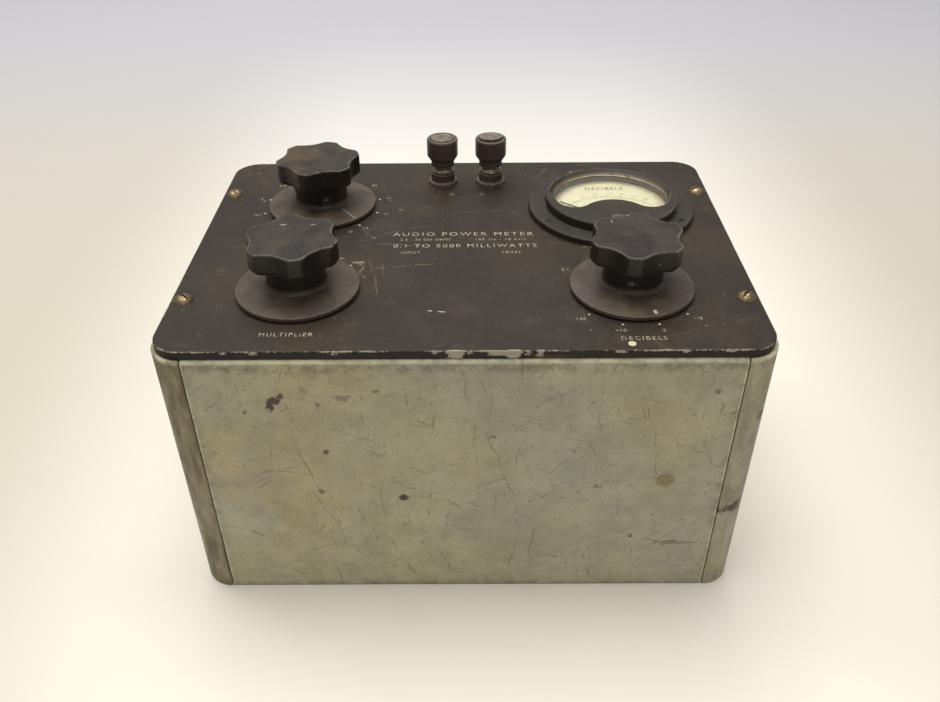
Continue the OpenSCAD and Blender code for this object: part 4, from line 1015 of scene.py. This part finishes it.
def makeBezel():
    m = meterShape
    centre = middleOf("meter_bezel")
    steps = 160
    bm = bmesh.new()

    def circle(radius, rise):
        turns = [2 * math.pi * k / steps for k in range(steps)]
        spots = [(centre.x + radius * math.cos(a), centre.y + radius * math.sin(a)) for a in turns]
        return [bm.verts.new((x, y, panelTop + rise)) for x, y in spots]

    profile = roundCorners([(m["cavity"], 0), (m["flange"], 0), (m["flange"], m["flangeTop"], 0.9),
                            (m["ring"] + 1.1, m["flangeTop"], 0.2),
                            (m["ring"] + 0.5, m["flangeTop"] - 0.35, 0.2),
                            (m["ring"], m["flangeTop"], 0.2), (m["ring"], m["ringTop"], 1.1),
                            (m["ring"] - 1.2, m["ringTop"])], steps=6, closed=False)
    rings = [circle(p.x, p.y) for p in profile]
    for low, high in zip(rings, rings[1:]):
        bridge(bm, low, high)
    # the arch falls inwards like a funnel, which runs out towards the flat mask in front
    window = []
    levels = [(1, 0.45, m["ringTop"]), (0.93, 0.2, m["ringTop"] - 0.1), (0.1, 0.05, m["under"] + 0.5),
              (0.02, 0.02, m["under"] + 0.3), (0, 0, m["under"])]  # share of the funnel, rounding, height
    for share, edge, z in levels:
        ring = []
        for flat, flared in zip(windowOutline(edge), windowOutline(edge + m["funnel"] * share)):
            behind = min(1.0, max(0.0, (flat.y + 6) / 14))
            behind = behind * behind * (3 - 2 * behind)
            spot = flat.lerp(flared, behind)
            ring.append(bm.verts.new((centre.x + spot.x, centre.y + spot.y, panelTop + z)))
        window.append(ring)
    for low, high in zip(window, window[1:]):
        bridge(bm, low, high)
    cavity = [circle(m["cavity"], z) for z in (m["under"], 0)]
    bridge(bm, cavity[0], cavity[1])
    for outer, inner in ((rings[-1], window[0]), (cavity[0], window[-1])):
        edges = [bm.edges.get(pair) for ring in (outer, inner) for pair in zip(ring, ring[1:] + ring[:1])]
        bmesh.ops.triangle_fill(bm, edges=edges, use_beauty=True)
    obj = makePiece("bezel_moulding", bm, "case", bezelBakelite, ("meter_bezel",))
    holes = bmesh.new()
    for angle in (90, 210, 330):
        x = centre.x + m["screwRing"] * math.cos(math.radians(angle))
        y = centre.y + m["screwRing"] * math.sin(math.radians(angle))
        addTurned(holes, [(0, -1), (m["screwHole"], -1), (m["screwHole"], m["flangeTop"] - m["screwDeep"]),
                          (m["screwHead"], m["flangeTop"]), (m["screwHead"], m["flangeTop"] + 1),
                          (0, m["flangeTop"] + 1)], (x, y, panelTop), steps=48)
    spot = middleOf("zero_adjuster")
    bore = [(0, 2), (m["adjusterHole"], 2), (m["adjusterHole"], 10), (0, 10)]
    addTurned(holes, bore, (spot.x, spot.y, panelTop), steps=48)
    carve(obj, meshObject("bezelHoles", holes))


adjusterShape = dict(collar=2.4, neck=1.5, head=3, headHigh=1.0, slotHalf=0.4, slotDeep=0.55)


def makeZeroScrew():
    s = adjusterShape
    spot = middleOf("zero_adjuster")
    low, high = boxOf("zero_adjuster")
    under, shoulder, head = low.z + 1.1, low.z + 2.1, high.z - s["headHigh"]
    profile = roundCorners([(0, under), (s["collar"], under, 0.2), (s["collar"], shoulder, 0.2),
                            (s["neck"], shoulder), (s["neck"], head), (s["head"], head, 0.15),
                            (s["head"], high.z, 0.3), (0, high.z)], steps=4, closed=False)
    bm = bmesh.new()
    addTurned(bm, profile, (spot.x, spot.y, 0), steps=48)
    obj = makePiece("zero_screw_head", bm, "zero_screw", terminalBakelite, ("zero_adjuster",))
    slot = bmesh.new()
    corners = [(-4, -s["slotHalf"]), (4, -s["slotHalf"]), (4, s["slotHalf"]), (-4, s["slotHalf"])]
    addPrism(slot, [(spot.x + x, spot.y + y) for x, y in corners], high.z - s["slotDeep"], high.z + 1)
    carve(obj, meshObject("slotCutter", slot))


def textPoints(words, wide, high, spacing=1.08):
    # one line of plain letters as a mesh, its cap height and width fitted
    curve = bpy.data.curves.new("words", "FONT")
    curve.body = words
    curve.align_x = "CENTER"
    curve.space_character = spacing
    curve.size = 1
    curve.extrude = 0.0
    curve.resolution_u = 3
    holder = bpy.data.objects.new("words", curve)
    scene.collection.objects.link(holder)
    graph = bpy.context.evaluated_depsgraph_get()
    mesh = bpy.data.meshes.new_from_object(holder.evaluated_get(graph))
    bpy.data.objects.remove(holder)
    bpy.data.curves.remove(curve)
    xs = [v.co.x for v in mesh.vertices]
    capHigh = 0.69  # cap height of the built-in letters at size 1
    scaleX = wide / (max(xs) - min(xs)) if wide else high / capHigh
    middle = (max(xs) + min(xs)) / 2
    centred = Matrix.Translation((-middle, -capHigh / 2, 0))
    mesh.transform(Matrix.Diagonal((scaleX, high / capHigh, 1, 1)) @ centred)
    return mesh


def addWords(bm, words, x, y, z, high, wide=None, turn=0.0, thick=0.06, spacing=1.08):
    mesh = textPoints(words, wide, high, spacing)
    part = bmesh.new()
    part.from_mesh(mesh)
    bpy.data.meshes.remove(mesh)
    bmesh.ops.remove_doubles(part, verts=part.verts, dist=0.0002)
    grown = bmesh.ops.extrude_face_region(part, geom=list(part.faces))
    for item in grown["geom"]:
        if isinstance(item, bmesh.types.BMVert):
            item.co.z += thick
    place = Matrix.Translation((x, y, z)) @ Matrix.Rotation(math.radians(turn), 4, "Z")
    bmesh.ops.transform(part, matrix=place, verts=part.verts)
    temp = bpy.data.meshes.new("part")
    part.to_mesh(temp)
    part.free()
    bm.from_mesh(temp)
    bpy.data.meshes.remove(temp)


def addDisc(bm, x, y, z, radius, thick=0.06, steps=24):
    profile = [(0, 0), (radius, 0), (radius, thick, thick * 0.5), (0, thick)]
    addTurned(bm, roundCorners(profile, steps=2, closed=False), (x, y, z), steps=steps)


dialPrint = dict(
    scaleRadius=27.6, lineWidth=0.22, marks=40, thick=0.04, sink=0.02,
    longMark=(2.0, 0.22), shortMark=(1.1, 0.14),  # length, half width in degrees
    numberRadius=31.4, numbers=["-10", "-5", "-3", "-1", "0", "+1", "+2", "+3"], numberHigh=1.9,
    at=[0, 0.24, 0.38, 0.54, 0.64, 0.75, 0.87, 1.0],  # where each number stands along the sweep
    title="DECIBELS", titleAt=(-0.9, 19.4), titleSize=(2.9, 19.5),
)


def makeDialPrint():
    m, d = meterShape, dialPrint
    centre = middleOf("meter_bezel")
    top = boxOf("meter_dial")[1].z
    pivot = (centre.x, centre.y - m["pivotDrop"])
    thick, sink = d["thick"], d["sink"]
    first = 90 + m["rest"]

    def sweepBand(bm, radius, width, start, end, steps):
        rings = []
        for k in range(steps + 1):
            a = math.radians(start + (end - start) * k / steps)
            c, s = math.cos(a), math.sin(a)
            section = [(radius, top - sink), (radius + width, top - sink), (radius + width, top + thick),
                       (radius, top + thick)]
            rings.append([(pivot[0] + r * c, pivot[1] + r * s, z) for r, z in section])
        addRings(bm, rings)

    bm = bmesh.new()
    sweepBand(bm, d["scaleRadius"], d["lineWidth"], first, first - m["sweep"], 80)
    for k in range(d["marks"] + 1):
        a = first - m["sweep"] * k / d["marks"]
        reach, half = d["longMark"] if k % 5 == 0 else d["shortMark"]
        sweepBand(bm, d["scaleRadius"], reach, a + half, a - half, 1)
    makePiece("dial_scale", bm, "case", faintInk)
    bm = bmesh.new()
    for text, share in zip(d["numbers"], d["at"]):
        a = first - m["sweep"] * share
        x = pivot[0] + d["numberRadius"] * math.cos(math.radians(a))
        y = pivot[1] + d["numberRadius"] * math.sin(math.radians(a))
        addWords(bm, text, x, y, top - sink, d["numberHigh"], turn=a - 90, thick=sink + thick)
    makePiece("dial_numbers", bm, "case", faintInk)
    bm = bmesh.new()
    addWords(bm, d["title"], centre.x + d["titleAt"][0], centre.y + d["titleAt"][1], top - sink,
             *d["titleSize"], thick=sink + thick, spacing=1.2)
    makePiece("dial_title", bm, "case", dialInk)


panelWords = [  # words, x, y, cap height, width
    ("AUDIO POWER METER", -1, 6.5, 3.3, 68),
    ("2.5 - 20 000 OHMS", -19, 1.1, 1.9, 24),
    ("100 c/s - 10 kc/s", 17, 1.1, 1.9, 24),
    ("0.1 TO 5000 MILLIWATTS", 0, -5, 3.1, 68),
    ("INPUT", -25.5, -11.4, 2.0, 9),
    ("LEVEL", 22, -11.4, 2.0, 9),
    ("MULTIPLIER", -72.7, -78, 2.5, 22),
    ("DECIBELS", 72.7, -81.7, 2.4, 18.6),
    ("METER MULTIPLIER", 73, -6.9, 2.1, 34),
    ("IMPEDANCE", -73, 73.5, 2.3, 20),
]
scales = {  # knob: radius of the dots, radius of the labels, first angle, labels
    "impedance_knob": (29.4, 34.2, -225, ["2.5", "3", "4", "5", "6", "8", "10", "12", "15", "20"]),
    "multiplier_knob": (29.4, 33.2, 45, ["1000", "100", "10", "1"]),
    "range_knob": (29.2, 33.6, -135, ["+20", "+10", "0", "-10"]),
}
# a second set of labels, on an ellipse round the back of the range knob
meterScale = dict(reach=(32.6, 30.5), first=52, step=32, labels=["100", "10", "1", "0.1"])
letters = dict(sink=0.03, spacing=1.3, dot=0.5, labelHigh=1.9, step=30, longLabel=1.03)
paintDot = dict(x=67.3, y=-85.6, radius=1.65)


def makeLettering():
    z = panelTop - letters["sink"]
    bm = bmesh.new()
    for words, x, y, high, wide in panelWords:
        addWords(bm, words, x, y, z, high, wide, spacing=letters["spacing"])
    dots = bmesh.new()
    for node, (dotRing, labelRing, first, labels) in scales.items():
        at = middleOf(node)
        for k, label in enumerate(labels):
            a = math.radians(first + letters["step"] * k)
            addDisc(dots, at.x + dotRing * math.cos(a), at.y + dotRing * math.sin(a), z, letters["dot"])
            aside = letters["longLabel"] if len(label) > 2 else 1
            addWords(bm, label, at.x + labelRing * math.cos(a) * aside, at.y + labelRing * math.sin(a), z,
                     letters["labelHigh"])
    at = middleOf("range_knob")
    reach = meterScale["reach"]
    for k, label in enumerate(meterScale["labels"]):
        a = math.radians(meterScale["first"] + meterScale["step"] * k)
        addWords(bm, label, at.x + reach[0] * math.cos(a), at.y + reach[1] * math.sin(a), z,
                 letters["labelHigh"])
    makePiece("panel_lettering", bm, "case", creamLetters)
    makePiece("scale_dots", dots, "case", brightLetters)
    bm = bmesh.new()
    addDisc(bm, paintDot["x"], paintDot["y"], z, paintDot["radius"], thick=0.2, steps=32)
    makePiece("paint_dot", bm, "case", creamDot)


finishes = {  # the nodes that keep their own mesh, by material slot
    "case_paint": paints["base"], "panel_paint": panelPaint, "screw_brass": rustyBrass,
    "dark_screw": darkScrew, "steel": dullSteel, "brass": dullBrass, "paxolin": paxolin,
    "bakelite": terminalBakelite,
    "bezel": bezelBakelite, "nickel": dullNickel, "cap_disc": greyFiller, "glass": meterGlass,
    "dial_card": agedDial, "pointer": pointerBlack, "magnet": magnetIron, "copper": copperWire,
    "laminations": laminated, "winding_paper": windingPaper, "resistor_body": bobbinBody,
    "oxide_stack": oxideRed,
}


def finishFrameNodes():
    for part in frame["record"]["subparts"]:
        obj = nodes[part["node"]]
        obj.data.materials.clear()
        obj.data.materials.append(finishes[part["material_slot"]])


floorShape = dict(wide=3.0, near=-2.2, deep=1.6, rise=2.4, bend=0.5)  # metres
# beside and behind are painted shade where the light falls off; behind is also the backdrop's own cooler grey
floorLook = dict(dark=rgb("EEE8DA"), light=rgb("F4EFE3"), beside=rgb("C6BFAF"), behind=rgb("BDBCC1"))


def makeStage():
    bm = bmesh.new()
    wide, near, deep, rise, bend = floorShape.values()
    turns = [math.radians(90 * k / 16) for k in range(17)]
    sweep = [(deep + bend * math.sin(a), bend - bend * math.cos(a)) for a in turns]
    line = [(near, 0.0)] + sweep + [(deep + bend, rise)]
    left = [bm.verts.new((-wide, y, z)) for y, z in line]
    right = [bm.verts.new((wide, y, z)) for y, z in line]
    for i in range(len(line) - 1):
        bm.faces.new((left[i], right[i], right[i + 1], left[i + 1]))
    mesh = bpy.data.meshes.new("floorSweep")
    bm.to_mesh(mesh)
    bm.free()
    floor = bpy.data.objects.new("floor_sweep", mesh)
    scene.collection.objects.link(floor)
    for face in mesh.polygons:
        face.use_smooth = True
    mix = newMaterial("paleFloor", floorLook["dark"])
    place = mix.place()
    across, along = mix.axes(place)[:2]
    mix.tint(floorLook["light"], mix.noise(place, 0.02, 3.0))
    # painted shade: the floor is drawn darker off to the sides and towards the back, and the backdrop greyer,
    # partly its own cooler colour and partly painted shade as the light falls off there
    side = mix.spread(mix.sums("ABSOLUTE", mix.minus(across, 20)), 110, 340)
    mix.tint(floorLook["beside"], side, mix.spread(along, -450, -150))
    mix.tint(floorLook["behind"], mix.spread(along, 100, 900))
    mesh.materials.append(mix.finished(0.7))


lights = {  # place in metres, size, watts, colour
    "skylight": dict(at=(-0.25, 0.45, 2.1), size=1.9, power=56, colour=(1.0, 0.985, 0.955)),
    "frontFill": dict(at=(0.3, -2.2, 1.4), size=1.8, power=9, colour=(1.0, 0.97, 0.92)),
}
roomLight = dict(colour=(0.93, 0.94, 0.96, 1), strength=0.35)


def makeLights():
    for name, spec in lights.items():
        lamp = bpy.data.lights.new(name, "AREA")
        lamp.energy = spec["power"]
        lamp.size = spec["size"]
        lamp.color = spec["colour"]
        holder = bpy.data.objects.new(name, lamp)
        holder.location = spec["at"]
        aim = Vector((0, 0, 0.08)) - holder.location
        holder.rotation_euler = aim.to_track_quat("-Z", "Y").to_euler()
        scene.collection.objects.link(holder)
    world = bpy.data.worlds.new("softRoom")
    world.use_nodes = True
    background = world.node_tree.nodes["Background"].inputs
    background["Color"].default_value = roomLight["colour"]
    background["Strength"].default_value = roomLight["strength"]
    scene.world = world
    scene.view_settings.view_transform = "Standard"
    scene.view_settings.look = "None"


cameraView = dict(at=(0.00385, -0.371, 0.34455), tilt=(53.95, 0.378, 0.026), lens=33.61)


def makeCamera():
    data = bpy.data.cameras.new("benchCamera")
    data.lens = cameraView["lens"]
    data.sensor_width = 36
    camera = bpy.data.objects.new("benchCamera", data)
    camera.location = cameraView["at"]
    camera.rotation_euler = Euler([math.radians(a) for a in cameraView["tilt"]])
    scene.collection.objects.link(camera)
    scene.camera = camera


makeCase()
makePanel()
makePanelScrews()
print("case made")
for name, look in knobs.items():
    makeKnob(name, look, brownBakelite if name == "impedance" else knobBakelite)
makeIndexMarks()
makeTerminals()
print("knobs and terminals made")
makeBezel()
makeZeroScrew()
makeDialPrint()
makeLettering()
print("meter and lettering made")
finishFrameNodes()
makeStage()
makeLights()
makeCamera()
